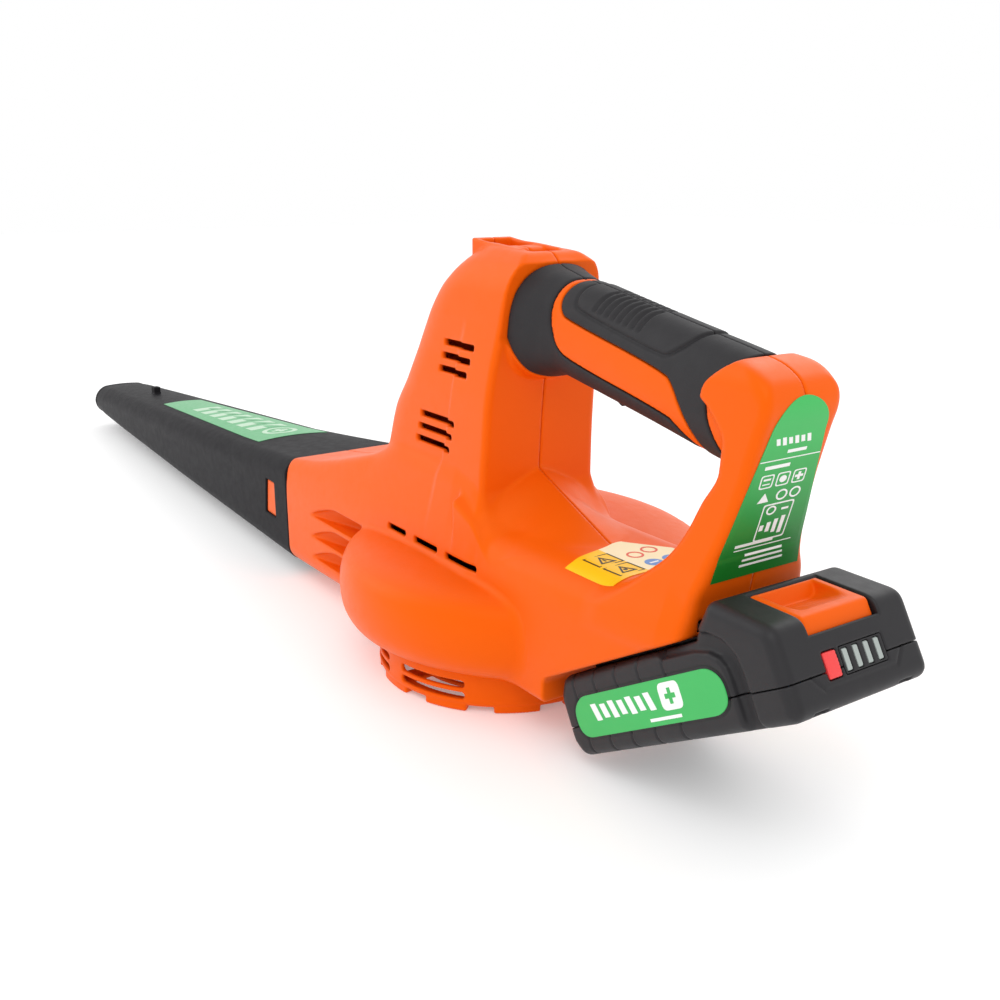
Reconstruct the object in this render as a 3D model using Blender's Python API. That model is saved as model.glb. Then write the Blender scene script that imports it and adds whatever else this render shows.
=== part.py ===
"""Cordless leaf blower: two-shell housing, vertical motor and fan, pull-off nozzle, slide-in battery.

The frame has +X towards the nozzle, +Y to the user's left and +Z up. The origin is on the fan's
axis, on the plane that the tool stands on. Lengths in this file are millimetres; MM turns them
into Blender's metres when a mesh is made.
"""
import math

import bmesh
import bpy
import numpy as np

MM = 0.001
GAP = 0.3                      # clearance between two pieces that touch
WALL = 2.5                     # housing wall
SEAM = 0.15                    # each housing half stops this far from the middle plane

# Housing
BODY_HALF_WIDTH = 44.0         # duct and fan housing between the bulges
BASE_HALF_WIDTH = 41.0
BODY_BOTTOM = 21.5             # underside of the fan housing
CEILING = (77.9, 80.3)         # web between the scroll and the motor bay
TOWER_TOP = 222.0
DECK_TOP = 89.0
DUCT_END = 182.0
REAR_END = -175.0
NEAR_SCROLL = (7.0, -18.0, 99.0)     # centre X, centre Y, radius of the left bulge
FAR_SCROLL = (-3.0, 20.0, 124.0)     # the same for the right bulge
EYE_RADIUS = 38.0              # inlet opening in the housing floor

# Handle: u runs back along it, v is up across it
HANDLE_START = (-65.0, 185.3)
HANDLE_SLOPE = math.radians(10.5)
GRIP_THICKNESS = 2.0
HANDLE_WALL = 4.6

# Intake cover
RING_RADIUS = 66.5
RING_TOP = 21.2
RING_WALL = 2.2
COVER_SCREW_RADIUS = 54.0

# Nozzle
NOZZLE_END = 710.0
NOZZLE_WALL = 1.8
SPIGOT_LENGTH = 43.0
TAB_LOW, TAB_HIGH = 34.0, 57.0

TRIGGER_PIVOT = (6.5, -14.6)   # in the handle's frame

# Fan and motor
IMPELLER_RADIUS = 62.0
BLADE_COUNT = 9
SHAFT_RADIUS = 2.5
MOTOR_RADIUS = 22.0
MOTOR_LOW, MOTOR_HIGH = 84.0, 146.0
PLATE_LOW, PLATE_HIGH = 80.6, 83.6

# Battery: a runs down along its slide, h is square to it, origin at the pack's rear lower edge
PACK_ORIGIN = (-233.0, 72.5)
PACK_SLOPE = math.radians(30.0)
PACK_HALF_WIDTH = 37.0
PACK_LENGTH = 139.0
PACK_HEIGHT = 36.0
PACK_SEAM = 13.5
HEAD_LENGTH = 42.0
CELL_RADIUS = 9.1
CELL_LENGTH = 63.4
LATCH_HALF_WIDTH = 18.4


# ------------------------------------------------------------------ materials
def material(name, colour, roughness, metallic=0.0):
    mat = bpy.data.materials.new(name)
    mat.use_nodes = True
    shader = mat.node_tree.nodes["Principled BSDF"]
    shader.inputs["Base Color"].default_value = (*colour, 1.0)
    shader.inputs["Roughness"].default_value = roughness
    shader.inputs["Metallic"].default_value = metallic
    mat.diffuse_color = (*colour, 1.0)
    return mat


def clear_scene():
    for obj in list(bpy.data.objects):
        bpy.data.objects.remove(obj, do_unlink=True)


clear_scene()
ORANGE = material("orange_plastic", (0.95, 0.16, 0.02), 0.38)
BLACK = material("black_plastic", (0.035, 0.034, 0.037), 0.5)
RUBBER = material("black_rubber", (0.028, 0.028, 0.030), 0.75)
GREEN = material("green_label", (0.06, 0.42, 0.10), 0.35)
YELLOW = material("yellow_label", (0.95, 0.62, 0.02), 0.4)
RED = material("red_plastic", (0.75, 0.05, 0.04), 0.4)
CLEAR = material("light_pipe", (0.30, 0.36, 0.34), 0.25)
STEEL = material("steel", (0.55, 0.55, 0.57), 0.35, 1.0)
DARK_STEEL = material("lamination_steel", (0.22, 0.22, 0.24), 0.45, 1.0)
COPPER = material("copper", (0.80, 0.38, 0.20), 0.35, 1.0)
CARBON = material("carbon", (0.05, 0.05, 0.05), 0.6)
FERRITE = material("ferrite", (0.09, 0.09, 0.10), 0.6)
BOARD = material("circuit_board", (0.02, 0.20, 0.08), 0.5)
WIRE_RED = material("red_wire", (0.65, 0.03, 0.03), 0.5)
WIRE_BLACK = material("black_wire", (0.03, 0.03, 0.03), 0.5)
CELL_WRAP = material("cell_wrap", (0.04, 0.20, 0.55), 0.4)


# ------------------------------------------------------------------ frames
def frame(origin, u_axis, v_axis, w_axis):
    """A place function from local (u, v, w) to the tool's (x, y, z)."""
    axes = np.array([u_axis, v_axis, w_axis], dtype=float)
    start = np.array(origin, dtype=float)
    return lambda points: np.asarray(points, dtype=float) @ axes + start


HC, HS = math.cos(HANDLE_SLOPE), math.sin(HANDLE_SLOPE)
PC, PS = math.cos(PACK_SLOPE), math.sin(PACK_SLOPE)
SIDE = frame((0, 0, 0), (1, 0, 0), (0, 0, 1), (0, 1, 0))
PLAN = frame((0, 0, 0), (1, 0, 0), (0, 1, 0), (0, 0, 1))
HANDLE = frame((HANDLE_START[0], 0, HANDLE_START[1]), (-HC, 0, -HS), (-HS, 0, HC), (0, 1, 0))
PACK = frame((PACK_ORIGIN[0], 0, PACK_ORIGIN[1]), (PC, 0, -PS), (PS, 0, PC), (0, 1, 0))


# ------------------------------------------------------------------ mesh tools
def mesh_object(name, verts, faces, mat=None):
    mesh = bpy.data.meshes.new(name)
    mesh.from_pydata([tuple(v * MM for v in vert) for vert in verts], [], faces)
    bm = bmesh.new()
    bm.from_mesh(mesh)
    bmesh.ops.triangulate(bm, faces=bm.faces)
    bmesh.ops.recalc_face_normals(bm, faces=bm.faces)
    bm.to_mesh(mesh)
    bm.free()
    if mat:
        mesh.materials.append(mat)
    obj = bpy.data.objects.new(name, mesh)
    bpy.context.collection.objects.link(obj)
    return obj


def loft(name, loops, mat=None):
    """A closed solid through a row of loops that all have the same number of points."""
    loops = [np.asarray(loop, dtype=float) for loop in loops]
    count = len(loops[0])
    verts = np.concatenate(loops)
    faces = [tuple(range(count)), tuple(range(len(verts) - count, len(verts)))]
    for row in range(len(loops) - 1):
        for i in range(count):
            j = (i + 1) % count
            low, high = row * count, (row + 1) * count
            faces.append((low + i, low + j, high + j, high + i))
    return mesh_object(name, verts, faces, mat)


def prism(name, outline, low, high, place, mat=None):
    """An outline in (u, v), extruded along w."""
    loops = [place([(u, v, w) for u, v in outline]) for w in (low, high)]
    return loft(name, loops, mat)


def block(name, u, v, w, place, mat=None):
    outline = [(u[0], v[0]), (u[1], v[0]), (u[1], v[1]), (u[0], v[1])]
    return prism(name, outline, w[0], w[1], place, mat)


def circle(radius, sides, centre=(0.0, 0.0)):
    turns = [2 * math.pi * (i + 0.5) / sides for i in range(sides)]
    return [(centre[0] + radius * math.cos(t), centre[1] + radius * math.sin(t)) for t in turns]


def turned(name, profile, sides, place, mat=None, centre=(0.0, 0.0)):
    """A solid of revolution about w from stacked (radius, w) discs."""
    loops = []
    for radius, w in profile:
        loops.append(place([(u, v, w) for u, v in circle(radius, sides, centre)]))
    return loft(name, loops, mat)


def ring(name, outer, inner, low, high, sides, place, mat=None):
    """A plain tube about w."""
    loops = [(outer, low), (outer, high), (inner, high), (inner, low)]
    rows = [place([(u, v, w) for u, v in circle(radius, sides)]) for radius, w in loops]
    faces = []
    for row in range(4):
        start, end = row * sides, ((row + 1) % 4) * sides
        for i in range(sides):
            j = (i + 1) % sides
            faces.append((start + i, start + j, end + j, end + i))
    return mesh_object(name, np.concatenate(rows), faces, mat)


def weld(mesh):
    """Merge the hair-thin edges that a boolean can leave."""
    bm = bmesh.new()
    bm.from_mesh(mesh)
    bmesh.ops.remove_doubles(bm, verts=bm.verts, dist=0.02 * MM)
    bmesh.ops.dissolve_degenerate(bm, edges=bm.edges, dist=0.005 * MM)
    bm.to_mesh(mesh)
    bm.free()


def boolean(target, cutters, operation):
    """Apply EXACT booleans one after the other and remove the cutters."""
    for cutter in cutters:
        modifier = target.modifiers.new(operation.lower(), "BOOLEAN")
        modifier.operation = operation
        modifier.solver = "EXACT"
        modifier.object = cutter
        graph = bpy.context.evaluated_depsgraph_get()
        mesh = bpy.data.meshes.new_from_object(target.evaluated_get(graph))
        target.modifiers.clear()
        target.data = mesh
        weld(mesh)
        bpy.data.objects.remove(cutter, do_unlink=True)
    return target


def cut(target, *cutters):
    return boolean(target, cutters, "DIFFERENCE")


def join(target, *others):
    return boolean(target, others, "UNION")


def keep(target, *others):
    return boolean(target, others, "INTERSECT")


def copy(obj, name):
    other = bpy.data.objects.new(name, obj.data.copy())
    bpy.context.collection.objects.link(other)
    return other


def flatten(mesh):
    """Dissolve the needless edges of flat areas and triangulate again."""
    bm = bmesh.new()
    bm.from_mesh(mesh)
    bmesh.ops.dissolve_limit(bm, angle_limit=math.radians(1.0), verts=bm.verts, edges=bm.edges)
    bmesh.ops.triangulate(bm, faces=bm.faces)
    bm.to_mesh(mesh)
    bm.free()


def finish(obj, name, mat):
    flatten(obj.data)
    obj.name = name
    obj.data.name = name
    obj.data.materials.clear()
    obj.data.materials.append(mat)
    for polygon in obj.data.polygons:
        polygon.material_index = 0
    obj.data.shade_smooth()
    obj.data.set_sharp_from_angle(angle=math.radians(35))
    return obj


def grow(outline, amount):
    """Move each side of a counter-clockwise outline out by amount."""
    points = [np.array(p, dtype=float) for p in outline]
    result = []
    for i, here in enumerate(points):
        before, after = here - points[i - 1], points[(i + 1) % len(points)] - here
        first = np.array([before[1], -before[0]]) / np.linalg.norm(before)
        second = np.array([after[1], -after[0]]) / np.linalg.norm(after)
        middle = first + second
        result.append(tuple(here + middle * amount * 2 / (middle @ middle)))
    return result


# ------------------------------------------------------------------ housing outer forms
def mirrored(half):
    """Close a half outline that starts and ends on the middle line."""
    return half + [(-y, z) for y, z in reversed(half[1:-1])]


def tower_solid(inset):
    """Motor tower: flat rear face, rounded nose, leaning back towards the top."""
    rows = [(58, -31, 112, 33), (84, -31, 100, 33.5), (104, -31.5, 85, 33), (131, -33, 75, 32),
            (149, -34.5, 62, 31.5), (175, -38, 47, 29), (198, -43, 30, 26.5), (212, -47, 13, 24),
            (219, -50, 2, 21), (TOWER_TOP, -46, -6, 17)]
    loops = []
    for z, rear, front, half in rows:
        z = min(z, TOWER_TOP - 16.5) if inset else z
        rear, front, half = rear + inset, front - inset, half - inset
        nose = min(30.0, 0.45 * (front - rear))
        arc = [math.radians(a) for a in (0, 25, 45, 62, 78)]
        side = [(front - nose + nose * math.cos(a), half * math.sin(a) ** 1.1) for a in arc]
        side += [(front - nose - 6, half), (rear + 6, half), (rear, half - 6)]
        loop = side + [(x, -y) for x, y in reversed(side[1:])]
        if not loops or z > loops[-1][0][2]:
            loops.append([(x, y, z) for x, y in loop])
    return loft("tower", loops)


def scroll_radius(angle):
    """Distance from the fan axis to the wall, blended from the left arc to the right one."""
    direction = np.array([math.cos(angle), math.sin(angle)])
    reach = []
    for x, y, radius in (NEAR_SCROLL, FAR_SCROLL):
        along = direction @ (x, y)
        reach.append(along + math.sqrt(radius ** 2 - x * x - y * y + along ** 2))
    share = 0.5 - 0.5 * math.tanh(3.0 * math.sin(angle))
    return reach[0] * (1 - share) + reach[1] * share


def scroll_solid(inset):
    """Fan housing: a domed disc whose wall follows the scroll, lower on the left than on the right."""
    rows = [(-13, BODY_BOTTOM, BODY_BOTTOM), (-6, 24, 24), (-1.5, 31, 31), (0, 39, 41), (-0.5, 50, 60),
            (-4, 58.5, 69.5), (-12, 62.8, 74), (-24, 65, 77), (-42, 67, 79)]
    middle = 45.0
    sides = 36
    turns = [2 * math.pi * i / sides for i in range(sides)]
    loops = []
    for offset, left_z, right_z in rows:
        loop = []
        for t in turns:
            radius = scroll_radius(t) + offset - inset
            right = 0.5 - 0.5 * math.tanh(3.0 * math.sin(t))
            z = left_z * (1 - right) + right_z * right
            z += inset if z < middle else -inset
            loop.append((radius * math.cos(t), radius * math.sin(t), z))
        loops.append(loop)
    return loft("scroll", loops)


def trunk_solid(inset):
    """Duct in front and battery deck behind, as one row of cross sections along X."""
    body, base = BODY_HALF_WIDTH, BASE_HALF_WIDTH
    rows = [(REAR_END, 36, 40, 93, 20, 92, 30, 88, 78), (-140, 39, 30, 90, 20, 89, 33, 84, 70),
            (-100, base, BODY_BOTTOM, DECK_TOP, 20, 88, 34, 81, 64),
            (-60, 42, BODY_BOTTOM, DECK_TOP, 20, 88, 34, 80, 62),
            (-38, 43, BODY_BOTTOM, DECK_TOP, 20, 88, 34, 82, 64),
            (-28, body, BODY_BOTTOM, 104, 20, 100, 34, 90, 66),
            (10, body, BODY_BOTTOM, 108, 18, 107, 34.5, 99, 68),
            (50, body, BODY_BOTTOM, 108, 18, 107, 35, 101, 68),
            (71, body, BODY_BOTTOM, 104, 18, 103, 35.5, 99, 68),
            (78, body, 17, 102.3, 18, 101.5, 35.5, 97, 68),
            (100, body, 11, 96, 19, 95.3, 36.5, 92, 68),
            (127, body, 10.3, 88.5, 20, 88, 37.3, 85.5, 68),
            (155, body, 9.7, 82, 21, 81.4, 38, 79, 67), (DUCT_END, body, 9.3, 78, 22, 77.3, 38, 75, 66)]
    loops = []
    for x, half, low, high, crown_y, crown_z, shoulder_y, shoulder_z, side_z in rows:
        corner = 12.0 if x > 0 else 4.0
        if inset:
            pinch = 13.0 * max(0.0, 1 - abs(x - 92) / 70)
            half = half - pinch
            shoulder_y = min(shoulder_y, half)
            x = x + 1.0 if x == DUCT_END else max(x, REAR_END + inset)
        bend = [(half - corner * (1 - math.cos(a)), low + corner * (1 - math.sin(a)))
                for a in (0, math.radians(45))]
        section = [(0, high), (crown_y, crown_z), (shoulder_y, shoulder_z), (half, side_z)]
        section += bend + [(half - corner, low), (0, low)]
        section = [(y if y == 0 else y - inset, z) for y, z in section]
        middle = 0.5 * (low + high)
        section = [(y, z - inset if z > middle else max(z + inset, 0)) for y, z in section]
        loops.append([(x, y, z) for y, z in mirrored(section)])
    return loft("trunk", loops)


def ramp_solid(inset):
    """Arched ridge that runs from the tower's foot down to the deck, shield-shaped from above."""
    rows = [(-20, 118.5, 40, 95), (-31, 113.8, 40, 93), (-46, 107.3, 38.6, 78), (-61, 100.8, 35, 82.5),
            (-80, 92.7, 23, 87), (-88, 89.2, 8, 88)]
    loops = []
    for x, ridge, width, side in rows:
        arch = []
        for share in (0, 0.45, 0.75, 1.0):
            z = ridge - (ridge - side) * share ** 1.9 - 1.3 * inset
            arch.append((x + 1.5 * inset * (x < -70), share * (width - inset), z))
        edge_x, edge_y, _ = arch[-1]
        feet = [(edge_x, edge_y, 62.0), (edge_x, -edge_y, 62.0)]
        loops.append(arch + feet + [(px, -py, z) for px, py, z in arch[:0:-1]])
    return loft("ramp", loops)


def oval(half_u, half_v, count=14, power=2.6):
    """Rounded section as a superellipse."""
    points = []
    for i in range(count):
        t = 2 * math.pi * i / count
        c, s = math.cos(t), math.sin(t)
        points.append((half_u * math.copysign(abs(c) ** (2 / power), c),
                       half_v * math.copysign(abs(s) ** (2 / power), s)))
    return points


def handle_solid(inset, start=-44.0, end=118.0):
    """Handle with its flared front collar, in the handle's own frame."""
    rows = [(start, 24.3, 27.3), (-25.0, 24.3, 27.3), (-17.0, 22.0, 25.5), (-8.0, 18.6, 23.0),
            (0.0, 16.8, 21.7), (60.0, 16.2, 21.6), (96.0, 16.6, 21.9), (end, 17.5, 21.5)]
    loops = []
    for u, half_y, half_v in rows:
        loops.append(HANDLE([(u, v, y) for y, v in oval(half_y - inset, half_v - inset)]))
    return loft("handle", loops)


def leg_solid(inset):
    """Rear leg, from the back of the handle down to the deck."""
    rows = [(188.5, -186, -170, 15), (185.5, -192.5, -158, 19.5), (177, -195.5, -150, 20.5),
            (160, -190.8, -160, 20.5), (145, -186.5, -164, 21), (125, -181, -158, 23),
            (108, -176, -152, 27), (97, -174, -140, 31), (82, -171, -124, 33)]
    loops = []
    for z, rear, front, half in rows:
        z = z - inset if z > 180 else z + 1.7 * inset * (z < 90)
        rear, front, half = rear + inset, front - inset, half - inset
        corner = min(6.0, 0.35 * (front - rear))
        side = [(front, half - corner), (front - corner, half), (rear + corner, half),
                (rear, half - corner)]
        loop = side + [(x, -y) for x, y in reversed(side)]
        loops.append([(x, y, z) for x, y in loop])
    return loft("leg", loops)


def bay_outline(extra):
    """Side view of the battery bay under the rear deck, grown by extra."""
    roof = PACK_HEIGHT + 1.6
    front = -91.0
    front_roof = PACK_ORIGIN[1] + (roof - (front - PACK_ORIGIN[0]) * PS) / PC
    rear = -215.0
    rear_roof = PACK_ORIGIN[1] + (roof - (rear - PACK_ORIGIN[0]) * PS) / PC
    return grow([(front, -30), (front, front_roof), (rear, rear_roof), (rear, -30)], extra)


def housing_block(inset):
    body = trunk_solid(inset)
    join(body, scroll_solid(inset), tower_solid(inset), ramp_solid(inset))
    join(body, handle_solid(inset * HANDLE_WALL / WALL), leg_solid(inset))
    bay = prism("bay", bay_outline(inset), -80, 80, SIDE)
    return cut(body, bay)


# ------------------------------------------------------------------ grips
def grip_outlines():
    """Side outlines (u, v) of the two rubber islands on each side of the handle."""
    collar = [(-25.5, -29), (104, -29), (96, -24), (79.5, -14.5), (74.6, -12.3), (10, -10.8),
              (1, -6.8), (-3.8, 3), (-5.2, 14), (-4.5, 30), (-25.5, 30)]
    palm = [(-1.0, 30), (-1.0, 13.5), (1.8, 9), (6.6, 6.8), (71, 4.9), (76.6, 1.5), (83.4, -6.5),
            (94.5, -18.4), (101, -29), (105, -29), (101, -12.4), (96.1, -1.6), (95.5, 8.8),
            (101.5, 17), (112, 30)]
    return collar, palm


def counter_clockwise(outline):
    area = sum(a[0] * b[1] - b[0] * a[1] for a, b in zip(outline, outline[1:] + outline[:1]))
    return outline if area > 0 else outline[::-1]


def grip_layer(outline, name, clearance):
    """The skin of the handle inside one outline; clearance makes the matching recess."""
    skin = handle_solid(-clearance, -25.5 - clearance, 116.0)
    core = handle_solid(GRIP_THICKNESS + clearance, -60.0, 130.0)
    area = prism(name, grow(counter_clockwise(outline), clearance), -40, 40, HANDLE)
    return keep(cut(skin, core), area)


def split(obj, left_name, right_name, mat):
    """Two halves, each standing off the middle plane by SEAM."""
    right = copy(obj, right_name)
    cut(obj, block("half", (-400, 900), (-100, 400), (-200, SEAM), SIDE))
    cut(right, block("half", (-400, 900), (-100, 400), (-SEAM, 200), SIDE))
    return finish(obj, left_name, mat), finish(right, right_name, mat)


# ------------------------------------------------------------------ housing
SCREW_PLACES = [(-22, 194), (38, 140), (150, 19.5), (-122, 170), (-177, 150), (-100, 72)]
HEAD_SEAT = -10.0
SHANK_END = 8.0


def housing_screw(index, x, z):
    outline = [(3.3, HEAD_SEAT - 2.4), (3.3, HEAD_SEAT - GAP), (1.45, HEAD_SEAT - GAP),
               (1.45, SHANK_END - 1)]
    obj = turned("screw", outline, 10, SIDE, centre=(x, z))
    return finish(obj, f"housing_screw_{index}", STEEL)


def side_slots():
    """Cooling slots through both side walls: two groups of three, and a row along the foot."""
    slots = []
    for low, x0, x1 in ((171, -19, 10), (164.3, -17, 12), (157.6, -15, 14)):
        slots.append((x0, x1, low))
    for low, x0, x1 in ((132, -5, 31), (125.2, -3, 33), (118.4, -1, 35)):
        slots.append((x0, x1, low))
    for x0, x1 in ((29, 48), (-3, 20), (-38, -11)):
        slots.append((x0, x1, 68.4))
    cutters = []
    for x0, x1, z in slots:
        cutters.append(block("slot", (x0, x1), (z, z + 3.0), (20, 60), SIDE))
        cutters.append(block("slot", (x0, x1), (z, z + 3.0), (-60, -20), SIDE))
    return cutters


def duct_pockets():
    """Three tapered pockets between ribs on each side of the duct."""
    cutters = []
    for low in (50.5, 36.8, 23.4):
        for side in (-1, 1):
            outline = [(74, 60), (74, 33.5), (88, 33.5), (150, 44.2), (150, 60)]
            pocket = prism("pocket", [(x, side * y) for x, y in outline], low - 2, low + 14, PLAN)
            wedge = [(70, low), (148.5, low - 0.3), (112, low + 9.8), (104, low + 11), (70, low + 11)]
            cutters.append(keep(pocket, prism("wedge", wedge, -70, 70, SIDE)))
    return cutters


def nozzle_section(half, low, high, inset):
    """Half outline of the nozzle tube at one station."""
    height = high - low
    top_y, corner = 0.86 * half, 0.27 * half
    points = [(0, high), (0.5 * half, high - 0.012 * height), (top_y, high - 0.045 * height),
              (half, high - 0.17 * height), (half, low + corner),
              (half - 0.3 * corner, low + 0.3 * corner), (half - corner, low), (0, low)]
    centre = 0.5 * (low + high)
    return [(y if y == 0 else y - inset, z - inset if z > centre else z + inset) for y, z in points]


def nozzle_loops(inset, stations):
    loops = []
    for x, half, low, high in stations:
        loops.append([(x, y, z) for y, z in mirrored(nozzle_section(half, low, high, inset))])
    return loops


NOZZLE_STATIONS = [(DUCT_END + GAP, 44.0, 9.3, 77.5), (290, 41.0, 9.6, 70.0), (430, 37.0, 10.2, 60.5),
                   (570, 32.8, 11.2, 51.2), (680, 29.5, 12.0, 43.8), (NOZZLE_END, 28.0, 13.0, 41.0)]


def nozzle_at(x):
    """Interpolated (half width, low, high) of the nozzle."""
    xs = [s[0] for s in NOZZLE_STATIONS]
    return [float(np.interp(x, xs, [s[k] for s in NOZZLE_STATIONS])) for k in (1, 2, 3)]


def spigot(inset, start, end):
    stations = [(x, *nozzle_at(x)) for x in (start, DUCT_END + 4, end)]
    return loft("spigot", nozzle_loops(NOZZLE_WALL + 0.5 + inset, stations))


def tab_outline(extra):
    return grow([(196, TAB_LOW), (222, TAB_LOW), (219, TAB_HIGH), (196, TAB_HIGH)], extra)


def housing():
    shell = housing_block(0.0)
    inner = housing_block(WALL)
    mid_wall = housing_block(0.5 * WALL)
    web = block("web", (-60, 176), CEILING, (-60, 60), SIDE)
    bosses = [turned("boss", [(5.4, -60), (5.4, 60)], 8, SIDE, centre=c) for c in SCREW_PLACES]
    for inside in (web, *bosses):
        keep(inside, copy(mid_wall, "limit"))
    bpy.data.objects.remove(mid_wall)
    cut(shell, inner)
    motor_way = turned("way", [(24, 70), (24, 85)], 20, PLAN)
    cut(web, motor_way, block("way", (40, 90), (70, 85), (-12, 12), SIDE))
    join(shell, web, spigot(0.0, DUCT_END - 5, DUCT_END + SPIGOT_LENGTH))
    cut(shell, spigot(WALL - 0.3, DUCT_END - 8, DUCT_END + SPIGOT_LENGTH + 5))
    join(shell, *bosses)
    holes = []
    for centre in SCREW_PLACES:
        holes.append(turned("bore", [(3.6, -70), (3.6, HEAD_SEAT), (1.75, HEAD_SEAT),
                                     (1.75, SHANK_END)], 10, SIDE, centre=centre))
    cut(shell, *holes)
    cut(shell, turned("eye", [(EYE_RADIUS, 10), (EYE_RADIUS, 30)], 28, PLAN))
    for x, y in cover_screw_places():
        cut(shell, turned("hole", [(1.75, 10), (1.75, 30)], 8, PLAN, centre=(x, y)))
    cut(shell, *side_slots(), *duct_pockets())
    cut(shell, strap_pocket(), tongue_channel(), terminal_window(), trigger_window())
    for outline, name in zip(grip_outlines(), ("collar", "palm")):
        cut(shell, grip_layer(outline, name, GAP))
    for side in (-1, 1):
        low, high = sorted((side * 30, side * 60))
        window = prism("window", tab_outline(GAP), low, high, SIDE)
        cut(shell, window)
    return split(shell, "left_housing", "right_housing", ORANGE)


def strap_pocket():
    """Recess in the tower's top with a round bar left across it."""
    pocket = block("pocket", (-27, 9), (209, 240), (-11, 11), SIDE)
    bar = turned("bar", [(3.6, -13), (3.6, 13)], 10, SIDE, centre=(-9, 215.5))
    return cut(pocket, bar)


TONGUE = dict(neck=22.0, head=26.0, low=39.6, high=42.6, start=47.0, end=126.0)


def tongue_outline(extra):
    """Cross section (y, h) of the battery's T-shaped tongue."""
    neck, head = TONGUE["neck"] + extra, TONGUE["head"] + extra
    low, high = TONGUE["low"] - extra, TONGUE["high"] + extra
    return [(-neck, 34), (neck, 34), (neck, low), (head, low), (head, high), (-head, high),
            (-head, low), (-neck, low)]


def tongue_solid(name, extra, start, end):
    rows = [PACK([(a, h, y) for y, h in tongue_outline(extra)]) for a in (start, end)]
    return loft(name, rows)


def tongue_channel():
    return tongue_solid("channel", 0.6, 20.0, TONGUE["end"] + 1.5)


def terminal_window():
    return block("window", (98, 116), (34, 50), (-17, 17), PACK)


def trigger_window():
    window = block("window", (2, 40), (-30, -12), (-6.6, 6.6), HANDLE)
    trunnions = turned("seat", [(1.8, -8.9), (1.8, 8.9)], 10, HANDLE, centre=TRIGGER_PIVOT)
    return join(window, trunnions)


# ------------------------------------------------------------------ intake cover
def cover_screw_places():
    places = []
    for degrees in (45, 135, 270):
        turn = math.radians(degrees)
        places.append((COVER_SCREW_RADIUS * math.cos(turn), COVER_SCREW_RADIUS * math.sin(turn)))
    return places


def intake_cover():
    """Slotted ring with a spoked grille below it, as one open-worked skin with thickness."""
    outer = [(RING_RADIUS, RING_TOP), (RING_RADIUS, 16.0), (RING_RADIUS, 12.2),
             (RING_RADIUS, 10.0), (RING_RADIUS, 6.2), (RING_RADIUS, 2.6), (60.0, 2.6), (52.0, 2.6),
             (44.0, 2.6), (36.0, 2.6), (28.0, 2.6), (20.0, 2.6), (13.0, 2.6)]
    inner = [(RING_RADIUS - RING_WALL, RING_TOP)]
    inner += [(RING_RADIUS - RING_WALL, z) for r, z in outer[1:5]]
    inner += [(RING_RADIUS - RING_WALL, 4.8)] + [(r, 4.8) for r, z in outer[6:]]
    columns = 32
    rows = len(outer) - 1

    def is_hole(row, column):
        rib = column % 4 == 0
        rear = 12 < column < 20
        if row in (1, 3):
            return not rib and not rear
        return 6 <= row <= 10 and not rib

    verts = []
    for profile in (outer, inner):
        for radius, z in profile:
            for column in range(columns):
                turn = 2 * math.pi * (column - 0.5) / columns
                verts.append((radius * math.cos(turn), radius * math.sin(turn), z))

    def index(side, row, column):
        return (side * len(outer) + row) * columns + column % columns

    faces = []
    for row in range(rows):
        for column in range(columns):
            corners = [(row, column), (row + 1, column), (row + 1, column + 1), (row, column + 1)]
            if not is_hole(row, column):
                faces.append(tuple(index(0, r, c) for r, c in corners))
                faces.append(tuple(index(1, r, c) for r, c in reversed(corners)))
            neighbours = [((row, column - 1), corners[0], corners[1]),
                          ((row + 1, column), corners[1], corners[2]),
                          ((row, column + 1), corners[2], corners[3]),
                          ((row - 1, column), corners[3], corners[0])]
            for (r, c), start, end in neighbours:
                edge_of_skin = r < 0 or r == rows
                open_next = edge_of_skin or is_hole(r, c % columns)
                if open_next and not is_hole(row, column):
                    faces.append((index(0, *end), index(0, *start), index(1, *start), index(1, *end)))
    cover = mesh_object("cover", verts, faces)
    hub = turned("hub", [(14.0, 0.0), (14.5, 5.6)], 24, PLAN)
    join(cover, hub)
    for start in (-50, -18, 14, 46, 78, 110, 142, 174, 206, 238, 270):
        turns = [math.radians(start + step * 10) for step in range(3)]
        outline = [(RING_RADIUS * 0.995 * math.cos(t), RING_RADIUS * 0.995 * math.sin(t)) for t in turns]
        outline += [(61 * math.cos(t), 61 * math.sin(t)) for t in reversed(turns)]
        join(cover, prism("foot", outline, 0.0, 3.4, PLAN))
    for place in cover_screw_places():
        join(cover, turned("post", [(5.0, 3.2), (5.0, RING_TOP)], 12, PLAN, centre=place))
    for place in cover_screw_places():
        cut(cover, turned("bore", [(3.6, -5), (3.6, 10), (1.75, 10), (1.75, 40)], 12, PLAN,
                          centre=place))
    return finish(cover, "intake_cover", ORANGE)


def cover_screws():
    for number, place in enumerate(cover_screw_places(), 1):
        profile = [(3.3, 8.0), (3.3, 10 - GAP), (1.45, 10 - GAP), (1.45, 25.0)]
        finish(turned("screw", profile, 10, PLAN, centre=place), f"cover_screw_{number}", STEEL)


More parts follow.
